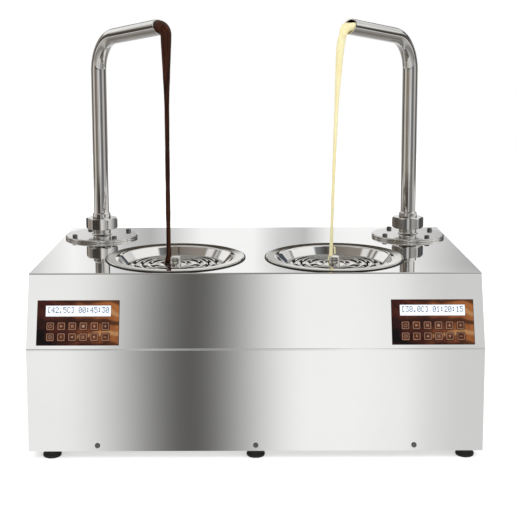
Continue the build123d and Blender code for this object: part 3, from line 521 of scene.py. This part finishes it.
def piece(name, shape, look, body, sharp=35):
    """A mesh that rides a CAD body, with the look it is given."""
    mesh = bpy.data.meshes.new(name)
    mesh.from_pydata(shape[0], [], shape[1])
    work = bmesh.new()
    work.from_mesh(mesh)
    bmesh.ops.recalc_face_normals(work, faces=work.faces)
    work.to_mesh(mesh)
    work.free()
    mesh.materials.append(look)
    mesh.shade_smooth()
    mesh.set_sharp_from_angle(angle=math.radians(sharp))
    thing = linked(name, mesh)
    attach(thing, body)
    return thing


# Places
def on_plate(node):
    """Middle of a node, at the height of the top plate."""
    low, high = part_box(node)
    return Vector(((low.x + high.x) / 2, (low.y + high.y) / 2, PLATE_Z))


def panel_face(node, side=0):
    """Frame on the outer face of a control panel's node: x to the right, y up the slope, z outwards."""
    points = [vertex.co for vertex in NODES[node].data.vertices if vertex.co.x * side >= 0]
    front = max(point.dot(PANEL_OUT) for point in points)
    face = [point for point in points if point.dot(PANEL_OUT) > front - FACE_DEPTH]
    xs = [point.x for point in face]
    ups = [point.dot(PANEL_UP) for point in face]
    right = Vector((1, 0, 0))
    centre = right * (min(xs) + max(xs)) / 2 + PANEL_UP * (min(ups) + max(ups)) / 2 + PANEL_OUT * front
    axes = Matrix((right, PANEL_UP, PANEL_OUT)).transposed().to_4x4()
    return Matrix.Translation(centre) @ axes, (max(xs) - min(xs), max(ups) - min(ups))


# Pieces on the case
def feet():
    outline = rounded((
        (FOOT_FLAT, 0, 0), (FOOT_BASE, 0, FOOT_EDGE), (FOOT_BASE, FOOT_SIDE, WAIST_EDGE),
        (FOOT_TOP, FOOT_WAIST, WAIST_EDGE), (FOOT_TOP, FOOT_HEIGHT, SMALL_EDGE), (FOOT_FLAT, FOOT_HEIGHT, 0),
    ))
    foot = spindle(outline, turns=48)
    shape = merged([moved(foot, (x, y, 0)) for x in FOOT_XS for y in FOOT_YS])
    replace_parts(piece("rubber_feet", shape, MATERIALS["black_rubber"], "case"), "feet")


def rim_shadow_bead(side):
    # Black rubber ring at the rim's foot: a dark part put where the rim's shadow line falls
    outline = [point + Vector((RIM_RADIUS + BEAD_OUT, BEAD_RISE)) for point in circle(BEAD_RADIUS, 12)]
    shape = moved(lathe(outline, turns=160), on_plate(f"{side}_drain_grid"))
    piece(f"{side}_rim_shadow_bead", shape, MATERIALS["black_rubber"], "case")


def flanges():
    neck_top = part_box("left_union_nut")[0].z - PLATE_Z + NUT_SKIRT
    outline = rounded((
        (TUBE_BORE, 0, 0), (FLANGE_RADIUS, 0, SMALL_EDGE), (FLANGE_RADIUS, FLANGE_THICKNESS, FLANGE_EDGE),
        (NECK_RADIUS, FLANGE_THICKNESS, NECK_FILLET), (NECK_RADIUS, neck_top, FINE_EDGE),
        (UNION_RADIUS, neck_top, SMALL_EDGE), (UNION_RADIUS, UNION_TOP, SMALL_EDGE),
        (TUBE_BORE, UNION_TOP, 0),
    ))
    flange = lathe(outline, turns=128)
    shape = merged([moved(flange, on_plate(f"{side}_spout_collar")) for side in SIDES])
    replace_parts(piece("flanges", shape, FLANGE_STEEL, "case"), "pump_flanges")


def hexagon(radius, turns):
    """Hexagon sampled at even angles, with its corners on samples."""
    points = []
    for point in circle(1.0, turns):
        lean = math.atan2(point.y, point.x) % (math.pi / 3) - math.pi / 6
        points.append(point * radius * math.cos(math.pi / 6) / math.cos(lean))
    return points


def socket_head():
    """Cap screw's head with rounded edges and a hexagon socket."""
    outline = rounded((
        (HEAD_RADIUS, 0, 0), (HEAD_RADIUS, HEAD_HEIGHT, SMALL_EDGE),
        (SOCKET_RADIUS * LAND_SHARE, HEAD_HEIGHT, 0),
    ))
    rings = [level_ring(circle(radius, HEAD_TURNS), z) for radius, z in outline]
    for share, depth in ((FLARE_SHARE, 0), (1.0, SOCKET_BREAK), (1.0, SOCKET_DEPTH)):
        rings.append(level_ring(hexagon(SOCKET_RADIUS * share, HEAD_TURNS), HEAD_HEIGHT - depth))
    return skin(rings)


def flange_screws():
    head = socket_head()
    shapes = []
    for side in SIDES:
        for place in circle(SCREW_CIRCLE, SCREW_COUNT, SCREW_TURN):
            spot = on_plate(f"{side}_spout_collar") + Vector((place.x, place.y, FLANGE_THICKNESS))
            shapes.append(moved(head, spot))
    look = MATERIALS["screw_steel"]
    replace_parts(piece("cap_screws", merged(shapes), look, "case"), "flange_screws")


def nut_radius(lean):
    """Radius of a faintly bulged flat at an angle from its middle."""
    return NUT_FLAT / math.cos(lean) + NUT_BULGE * (1 - (6 * lean / math.pi) ** 2)


def nut_outline(limit):
    """Hexagon cut by a circle: flats and corner arcs keep the same share of points at every cut."""
    reach, over = 0.0, math.pi / 6
    while over - reach > ANGLE_TOLERANCE:
        trial = (reach + over) / 2
        if nut_radius(trial) < limit:
            reach = trial
        else:
            over = trial
    outline = []
    for flat in range(6):
        turn = (flat + 0.5) * math.pi / 3
        for quarter in range(-4, 5):
            lean = reach * quarter / 4
            outline.append((turn + lean, nut_radius(lean)))
        gap = math.pi / 3 - 2 * reach
        outline += [(turn + reach + gap * quarter / 4, limit) for quarter in range(1, 4)]
    return [Vector((radius * math.cos(angle), radius * math.sin(angle))) for angle, radius in outline]


def union_nut(side):
    """Hexagon nut with chamfered corners, and a lip that holds the collar's shoulder."""
    name = f"{side}_union_nut"
    low, high = (corner.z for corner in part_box(name))
    corner = NUT_FLAT / math.cos(math.pi / 6) * NUT_CORNER_SHARE
    narrow = nut_radius(0) * NUT_FACE_SHARE
    cuts = [(narrow + (corner - narrow) * quarter / 4, NUT_CHAMFER * quarter / 4) for quarter in range(5)]
    levels = [(limit, low + rise) for limit, rise in cuts]
    levels += [(limit, high - rise) for limit, rise in reversed(cuts)]
    rings = [level_ring(nut_outline(limit), z) for limit, z in levels]
    angles = [point.normalized() for point in nut_outline(corner)]
    wide, tight, lip = UNION_RADIUS + TURN_GAP, COLLAR_RADIUS + TURN_GAP, high - NUT_LIP
    for radius, z in ((tight, high), (tight, lip), (wide, lip), (wide, low)):
        rings.append(level_ring([point * radius for point in angles], z))
    place = on_plate(f"{side}_spout_collar")
    shape = moved(skin(rings, loop=True), (place.x, place.y, 0))
    nut = piece(f"{side}_hex_nut", shape, MATERIALS["polished_steel"], name, sharp=20)
    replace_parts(nut, name)


def collar(side):
    """Sleeve at the spout's foot, closed to the tube by a small weld."""
    shoulder = UNION_RADIUS - TURN_GAP
    outline = rounded((
        (TUBE_RADIUS, COLLAR_FOOT, 0), (shoulder, COLLAR_FOOT, FINE_EDGE),
        (shoulder, SHOULDER_TOP, FINE_EDGE), (COLLAR_RADIUS, SHOULDER_TOP, SHOULDER_FILLET),
        (COLLAR_RADIUS, COLLAR_TOP, COLLAR_EDGE), (WELD_RADIUS, COLLAR_TOP, WELD_EDGE),
        (TUBE_RADIUS, COLLAR_TOP + WELD_RISE, 0),
    ))
    shape = moved(lathe(outline), on_plate(f"{side}_spout_collar"))
    look = MATERIALS["polished_steel"]
    sleeve = piece(f"{side}_collar_sleeve", shape, look, f"{side}_spout")
    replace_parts(sleeve, f"{side}_spout_collar")


# Spouts and streams
def spout_frame(side):
    """Foot of a spout, its direction over the plate, the level direction across it and its mouth's reach."""
    foot = on_plate(f"{side}_spout_collar")
    reach = on_plate(f"{side}_drain_grid") - foot
    along = reach.normalized()
    return foot, along, along.cross(UP), reach.length - KNOB_RADIUS - LANDING_GAP - FALL_OFFSET


def spout(side):
    """Bent tube from its collar to its mouth, which is cut back at the top and has a faintly rounded lip."""
    foot, along, across, tip_reach = spout_frame(side)
    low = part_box(f"{side}_spout")[0].z - PLATE_Z
    corners = ((0, low, 0), (0, TIP_HEIGHT - SPOUT_RISE, SPOUT_BEND), (tip_reach, TIP_HEIGHT, 0))
    path = rounded(corners, SPOUT_STEPS, held=False)
    rise, arm = (path[1] - path[0]).normalized(), (path[-1] - path[-2]).normalized()
    turning = [(after - before).normalized() for before, after in zip(path[1:], path[3:])]
    stations = list(zip(path[:-1], (rise, rise, *turning)))
    tip = path[-1]

    def ring(point, heading, radius, rake=0.0):
        place = foot + along * point.x + UP * point.y
        forward = along * heading.x + UP * heading.y
        top = across.cross(forward) - forward * math.tan(rake)
        return [place + (across * p.x + top * p.y) * radius for p in circle(1.0, TUBE_TURNS)]

    def wall(radius, lip_radius):
        rings = [ring(point, heading, radius) for point, heading in stations]
        rings.append(ring(tip - arm * LIP_EDGE, arm, radius, MOUTH_RAKE))
        rings.append(ring(tip, arm, lip_radius, MOUTH_RAKE))
        return rings

    outer = wall(TUBE_RADIUS, TUBE_RADIUS - LIP_EDGE)
    inner = wall(TUBE_BORE, TUBE_BORE + LIP_EDGE)
    shape = skin(outer + inner[::-1], loop=True)
    tube = piece(f"{side}_spout_tube", shape, MATERIALS["polished_steel"], f"{side}_spout")
    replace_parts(tube, f"{side}_spout")


def stream(side):
    """Chocolate that fills the mouth, rolls over the lip and falls as a thinning, faintly twisted rope."""
    foot, along, across, tip_reach = spout_frame(side)
    tip = foot + along * tip_reach + UP * TIP_HEIGHT
    arm = (along * tip_reach + UP * SPOUT_RISE).normalized()
    top_radius, end_radius, drift_along, drift_across, mouth_fill = STREAM[side]
    full = TUBE_BORE - PLUG_GAP
    rings = []

    def ring(place, heading, radius, fill=1.0, twist=0.0):
        top = across.cross(heading)
        points = []
        for point in circle(1.0, STREAM_TURNS):
            angle = math.atan2(point.y, point.x)
            waves = sum(size * math.cos(lobes * angle + turn * twist) for size, lobes, turn in WAVES)
            reach = radius * (1 + twist * waves)
            points.append(place + (across * point.x + top * min(point.y, fill)) * reach)
        rings.append(points)

    for share in PLUG_SHARES:
        ring(tip - arm * PLUG_LENGTH * share, arm, full, mouth_fill)
    for count in range(1, LIP_STEPS + 1):
        share = count / LIP_STEPS
        turn = math.pi / 2 * share
        place = tip + along * FALL_OFFSET * math.sin(turn) - UP * LIP_DROP * (1 - math.cos(turn))
        heading = along * math.cos(turn) - UP * math.sin(turn)
        radius = full + (top_radius - full) * share**LIP_NARROWING
        ring(place, heading, radius, mouth_fill + (1 - mouth_fill) * share, LIP_TWIST * share)
    start = tip + along * FALL_OFFSET - UP * LIP_DROP
    end = PLATE_Z + GRID_TOP + GRID_GAP
    fall = start.z - end
    for count in range(1, FALL_STEPS + 1):
        share = count / FALL_STEPS
        drop = fall * share**2
        radius = end_radius + (top_radius - end_radius) * math.exp(-((drop / NECK_DROP) ** 2))
        radius *= 1 + share * sum(size * math.sin(drop * rate + phase) for size, rate, phase in RIPPLES)
        radius *= 1 + LANDING_SPREAD * math.exp(-(fall - drop) / LANDING_DEPTH)
        place = start + (along * drift_along + across * drift_across) * share - UP * drop
        ring(place, -UP, radius, twist=LIP_TWIST + (1 - LIP_TWIST) * share)
    slot = SLOTS[f"{side}_stream"]
    rope = piece(f"{side}_chocolate", skin(rings), MATERIALS[slot], f"{side}_spout", sharp=60)
    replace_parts(rope, f"{side}_stream")
    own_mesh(rope)


# Keys and displays; a key's sign is drawn in millimetres, and an arrow's back corners spread by radians
MM_PER_METRE = 1000
ARROW_TIP, ARROW_BACK, ARROW_SPREAD = 2.8, 2.4, 2.3


def square(half, corner):
    corners = ((-half, -half, corner), (half, -half, corner), (half, half, corner), (-half, half, corner))
    return rounded(corners, steps=4, held=False)


def bar(x, y, width, height):
    left, right, low, high = x - width / 2, x + width / 2, y - height / 2, y + height / 2
    return [(left, low), (right, low), (right, high), (left, high)]


def arc(radius, width, start, end, steps=20):
    """Outline of a ring's part between two angles in degrees."""
    angles = [math.radians(start + (end - start) * count / steps) for count in range(steps + 1)]
    outer = [(radius * math.cos(a), radius * math.sin(a)) for a in angles]
    inner = [((radius - width) * math.cos(a), (radius - width) * math.sin(a)) for a in reversed(angles)]
    return outer + inner


def arrow(direction):
    """Triangle that points along 0 right, 90 up, 180 left or 270 down."""
    turn = math.radians(direction)
    corners = ((turn, ARROW_TIP), (turn + ARROW_SPREAD, ARROW_BACK), (turn - ARROW_SPREAD, ARROW_BACK))
    return [(radius * math.cos(angle), radius * math.sin(angle)) for angle, radius in corners]


SIGNS = (
    [arc(2.6, 0.6, -230, 50), bar(0, 1.7, 0.6, 2.4)],
    [arrow(0)],
    [bar(-1.0, 0, 1.1, 4.2), bar(1.0, 0, 1.1, 4.2)],
    [bar(0, 0, 3.8, 3.8)],
    [arrow(90)],
    [bar(0, 0, 4.4, 0.9), bar(0, 1.35, 0.9, 1.8), bar(0, -1.35, 0.9, 1.8)],
    [arc(2.7, 0.55, -179, 180), bar(0, 0.8, 0.5, 1.8), bar(0.6, 0, 1.4, 0.5)],
    [bar(0, 0.9, 0.8, 3.6), arc(1.3, 1.2, -270, 89)],
    [arrow(180)],
    [bar(0, 1.5, 4.4, 0.7), bar(0, 0, 4.4, 0.7), bar(0, -1.5, 4.4, 0.7)],
    [arrow(270)],
    [bar(0, 0, 4.4, 0.9)],
)


def key(side, number):
    """Domed cap with a printed frame and a sign."""
    name = f"{side}_key_{number}"
    place, _ = panel_face(name)
    rings = [level_ring(square(half, corner), z) for half, corner, z in KEY_LEVELS]
    cap = piece(f"{name}_cap", moved(skin(rings), place), KEY_CAP, name, sharp=50)
    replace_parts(cap, name)
    outer, inner = KEY_FRAME
    shapes = [band(square(*outer), square(*inner), *FRAME_HEIGHTS)]
    for outline in SIGNS[number - 1]:
        shapes.append(prism([(x / MM_PER_METRE, y / MM_PER_METRE) for x, y in outline], *SIGN_HEIGHTS))
    piece(f"{name}_print", moved(merged(shapes), place), KEY_INK, name)


GLYPHS = {
    "0": "01110 10001 10011 10101 11001 10001 01110",
    "1": "00100 01100 00100 00100 00100 00100 01110",
    "2": "01110 10001 00001 00010 00100 01000 11111",
    "3": "11111 00010 00100 00010 00001 10001 01110",
    "4": "00010 00110 01010 10010 11111 00010 00010",
    "5": "11111 10000 11110 00001 00001 10001 01110",
    "8": "01110 10001 10001 01110 10001 10001 01110",
    "C": "01110 10001 10000 10000 10000 10001 01110",
    "[": "01110 01000 01000 01000 01000 01000 01110",
    "]": "01110 00010 00010 00010 00010 00010 01110",
    ":": "00000 01100 01100 00000 01100 01100 00000",
    ".": "00000 00000 00000 00000 00000 01100 01100",
    " ": "00000 00000 00000 00000 00000 00000 00000",
}


def display_text(side):
    """Dot-matrix line of numbers in the display's upper half."""
    place, (_, height) = panel_face("displays", SIDES[side])
    left = -len(TEXT[side]) * CELL_WIDTH / 2 + DOT_WIDTH
    top = height / 2 - TEXT_TOP
    shapes = []
    for cell, letter in enumerate(TEXT[side]):
        for row, dots in enumerate(GLYPHS[letter].split()):
            for column, lit in enumerate(dots):
                if lit == "1":
                    x = left + cell * CELL_WIDTH + column * DOT_WIDTH
                    dot = bar(x, top - row * DOT_PITCH, DOT_WIDTH * DOT_FILL, DOT_PITCH * DOT_FILL)
                    shapes.append(prism(dot, *DOT_HEIGHTS))
    piece(f"{side}_display_text", moved(merged(shapes), place), SEGMENT_INK, "case")


# Studio: what polished metal sees, in layers of bands. A band has an azimuth in degrees, with the camera's
# side at 0, a grey and, where it isn't neutral, a warmth
FRONT_WALL = ((-11, 0.95), (5.5, 1.0), (8, 0.95), (11, 0.70))
TABLE_BANDS = (
    (-180, 0.72), (-170, 0.50), (-158, 0.42, 0.02), (-140, 0.34, 0.05), (-122, 0.19, 0.10), (-98, 0.52, 0.04),
    (-76, 0.26, 0.05), (-35, 0.50, 0.04), *FRONT_WALL, (35, 0.45), (76, 0.26, 0.03), (98, 0.52),
    (122, 0.19, 0.08), (140, 0.34, 0.04), (158, 0.42, 0.02), (168, 0.50), (174, 0.86), (180, 0.72),
)
SKIRT_BANDS = (
    (-180, 0.60), (-150, 0.30, 0.08), (-134, 0.03), (-130, 0.36, 0.12), (-120, 0.28, 0.12), (-112, 0.75),
    (-96, 0.80), (-84, 0.40, 0.08), (-66, 0.55, 0.06), (-54, 0.08, 0.18), (-9, 0.05, 0.15), (-5.5, 0.95),
    (3, 0.06), (6, 0.90), (9, 0.10), (13, 0.50), (18, 0.20), (52, 0.20), (64, 0.60), (84, 0.40), (96, 0.90),
    (119, 0.80), (124, 0.06), (134, 0.12), (150, 0.30), (180, 0.60),
)
HORIZON_BANDS = (
    (-180, 0.95), (-166, 0.40), (-150, 0.20, 0.10), (-135, 0.36, 0.08), (-112, 0.06, 0.20),
    (-100, 0.14, 0.15), (-84, 0.66, 0.06), (-66, 0.60, 0.06), (-54, 0.14, 0.18), (-18, 0.30, 0.10),
    *FRONT_WALL, (18, 0.35), (36, 0.15), (52, 0.22), (64, 0.60), (82, 0.52, 0.02), (100, 0.14, 0.10),
    (112, 0.06, 0.15), (135, 0.36, 0.02), (150, 0.18), (166, 0.40), (180, 0.95),
)
PLATE_BANDS = (
    (-180, 1.0), (-177.5, 1.0), (-174.2, 0.48), (-170.3, 1.0), (-166, 0.40), (-135, 0.36, 0.08),
    (-112, 0.10, 0.15), (-90, 0.30, 0.10), (-60, 0.10, 0.15), (-9, 0.05, 0.12), (-5.5, 0.95), (3, 0.06),
    (6, 0.80), (9, 0.10), (13, 0.45), (20, 0.20), (40, 0.85), (100, 0.95), (122, 0.10), (150, 0.20),
    (167, 0.42), (173.5, 1.0), (175.3, 1.0), (177.6, 0.50), (180, 1.0),
)
WALL_BANDS = (
    (-180, 1.0), (-126, 0.95), (-118, 0.40, 0.05), (-110, 0.80), (-85, 0.80), (-70, 0.15, 0.10),
    (-35, 0.40, 0.05), *FRONT_WALL, (35, 0.30), (70, 0.15), (84, 0.95), (118, 0.95), (128, 0.70), (180, 1.0),
)
CEILING_BANDS = (
    (-180, 0.35, 0.08), (-160, 0.60), (-128, 0.60), (-123, 0.16, 0.12), (-118, 0.75), (-112, 0.18, 0.12),
    (-106, 0.80), (-97, 0.80), (-90, 0.26, 0.12), (15, 0.17, 0.12), (28, 0.07, 0.10), (62, 0.20, -0.03),
    (70, 0.95), (135, 0.95), (160, 0.60), (180, 0.35, 0.08),
)
# From the floor to the ceiling: where each layer takes over from the one below, as sines of elevation,
# its bands, and whether a dark strip hangs in it, which the case's front shows as a soft gradient
LAYERS = (
    (None, TABLE_BANDS, True),
    ((-0.21, -0.19), SKIRT_BANDS, False),
    ((-0.145, -0.125), HORIZON_BANDS, True),
    ((0.125, 0.145), PLATE_BANDS, False),
    ((0.205, 0.24), WALL_BANDS, True),
    ((0.56, 0.62), CEILING_BANDS, False),
)
STRIP_START, STRIP_MIDDLE, STRIP_END = -11.0, -3.6, 3.3
STRIP_COLOUR = (0.12, 0.118, 0.115, 1.0)
# Dark cards in front of the layers: azimuth from and to, height from and to as sines, colour
CARDS = (
    (158, 202, 0.25, 0.35, (0.05, 0.042, 0.032, 1.0)),
    (158, 202, 0.44, 0.58, (0.05, 0.042, 0.032, 1.0)),
    (134, 156, 0.16, 0.32, (0.07, 0.08, 0.10, 1.0)),
    (-156, -136, 0.16, 0.26, (0.14, 0.12, 0.09, 1.0)),
)
CARD_SIDE_EDGE, CARD_TOP_EDGE = 3.0, 0.03
WHITE, SOFT_LIGHT = (1, 1, 1, 1), 0.82
FLOOR_WIDTH, FLOOR_GLOW = 8.0, 0.50
# Lamps with their place and power, all aimed at one point
LAMPS = {"key": ((-1.2, -1.6, 1.9), 15), "fill": ((1.5, -1.3, 1.3), 8), "rear": ((0.2, 1.6, 1.8), 8)}
LAMP_TARGET, LAMP_SIZE = Vector((0, 0, 0.2)), 1.4


def grey(value, warmth=0.0):
    return (value * (1 + warmth), value, value * (1 - warmth))


def between(tree, value, low, high, edge):
    """1 from low to high, with a soft edge outside."""
    rise = step(tree, value, low - edge, low)
    return math_node(tree, "SUBTRACT", rise, step(tree, value, high, high + edge))


def reflected_studio(tree):
    """Colour of the studio in a ray's direction: white walls with dark gaps, cards and a strip."""
    direction = add(tree, "SeparateXYZ", {"Vector": add(tree, "TexCoord").outputs["Generated"]}).outputs
    toward_front = math_node(tree, "MULTIPLY", direction["Y"], -1.0)
    azimuth = math_node(tree, "ARCTAN2", direction["X"], toward_front)
    turn_inputs = {"Value": azimuth, "From Min": -math.pi, "From Max": math.pi}
    turn = add(tree, "MapRange", turn_inputs).outputs["Result"]
    degrees = spread(tree, turn, -180, 180)
    full_turn = math_node(tree, "FLOORED_MODULO", degrees, 360)
    height = direction["Z"]
    strip_left = step(tree, degrees, STRIP_START, STRIP_MIDDLE)
    strip_right = step(tree, degrees, STRIP_END, STRIP_MIDDLE)
    strip = math_node(tree, "MINIMUM", strip_left, strip_right)
    seen = None
    for edges, bands, striped in LAYERS:
        stops = [(angle / 360 + 0.5, grey(*shade)) for angle, *shade in bands]
        layer = ramp(tree, turn, stops, "EASE")
        if striped:
            layer = blend(tree, strip, layer, STRIP_COLOUR)
        seen = blend(tree, step(tree, height, *edges), seen, layer) if edges else layer
    for start, end, low, high, colour in CARDS:
        side = between(tree, full_turn if end > 180 else degrees, start, end, CARD_SIDE_EDGE)
        card = math_node(tree, "MULTIPLY", side, between(tree, height, low, high, CARD_TOP_EDGE))
        seen = blend(tree, card, seen, colour)
    return seen


def studio_world():
    """White to the camera and soft light for the object; metal sees the studio."""
    world = bpy.data.worlds.new("studio")
    bpy.context.scene.world = world
    world.use_nodes = True
    tree = world.node_tree
    tree.nodes.clear()
    lit = add(tree, "Background", {"Color": WHITE, "Strength": SOFT_LIGHT}).outputs[0]
    reflected = add(tree, "Background", {"Color": reflected_studio(tree), "Strength": 1.0}).outputs[0]
    white = add(tree, "Background", {"Color": WHITE, "Strength": 1.0}).outputs[0]
    is_glossy = add(tree, "LightPath").outputs["Is Glossy Ray"]
    glossy = add(tree, "MixShader", {0: is_glossy, 1: lit, 2: reflected}).outputs[0]
    shown = add(tree, "MixShader", {0: seen_directly(tree), 1: glossy, 2: white}).outputs[0]
    add(tree, "OutputWorld", {"Surface": shown})


def floor():
    """White table that keeps the object's shadow and stays out of the metal's reflections."""
    corners = level_ring(bar(0, 0, FLOOR_WIDTH, FLOOR_WIDTH), 0)
    mesh = bpy.data.meshes.new("floor")
    mesh.from_pydata(corners, [], [(0, 1, 2, 3)])
    pale = Surface("floor_white", Roughness=0.9)
    pale.tint(pale.noise(2), (0.80, 0.80, 0.80), (0.82, 0.82, 0.82))
    tree = pale.tree
    glow = add(tree, "Emission", {"Color": WHITE, "Strength": FLOOR_GLOW}).outputs[0]
    dark = add(tree, "Emission", {"Strength": 0.0}).outputs[0]
    boost = add(tree, "MixShader", {0: seen_directly(tree), 1: dark, 2: glow}).outputs[0]
    total = add(tree, "AddShader", {0: pale.shader.outputs[0], 1: boost}).outputs[0]
    tree.links.new(total, tree.nodes["Material Output"].inputs["Surface"])
    mesh.materials.append(pale.material)
    plane = linked("floor", mesh)
    plane.visible_glossy = False


def lamp(name, place, power):
    light = bpy.data.lights.new(name, "AREA")
    light.shape = "DISK"
    light.size = LAMP_SIZE
    light.energy = power
    holder = linked(name, light)
    holder.location = place
    holder.rotation_euler = (LAMP_TARGET - holder.location).to_track_quat("-Z", "Y").to_euler()
    holder.visible_glossy = False


def camera():
    data = bpy.data.cameras.new("camera")
    data.sensor_fit = "HORIZONTAL"
    data.sensor_width = SENSOR_WIDTH
    data.lens = SENSOR_WIDTH * FOCAL_PIXELS / PICTURE_WIDTH
    data.shift_x, data.shift_y = CAMERA_SHIFT
    data.dof.use_dof = False
    holder = linked("camera", data)
    tilt = Matrix.Rotation(math.pi / 2 - CAMERA_PITCH, 4, "X")
    roll = Matrix.Rotation(-CAMERA_ROLL, 4, "Z")
    holder.matrix_world = Matrix.Translation(CAMERA_PLACE) @ tilt @ roll
    bpy.context.scene.camera = holder


def studio():
    bpy.context.scene.view_settings.view_transform = "Standard"
    studio_world()
    floor()
    for name, (place, power) in LAMPS.items():
        lamp(name, place, power)
    camera()


dress_nodes()
feet()
flanges()
flange_screws()
for side_name in SIDES:
    rim_shadow_bead(side_name)
    union_nut(side_name)
    collar(side_name)
    spout(side_name)
    stream(side_name)
    display_text(side_name)
    for key_number in range(1, len(SIGNS) + 1):
        key(side_name, key_number)
studio()
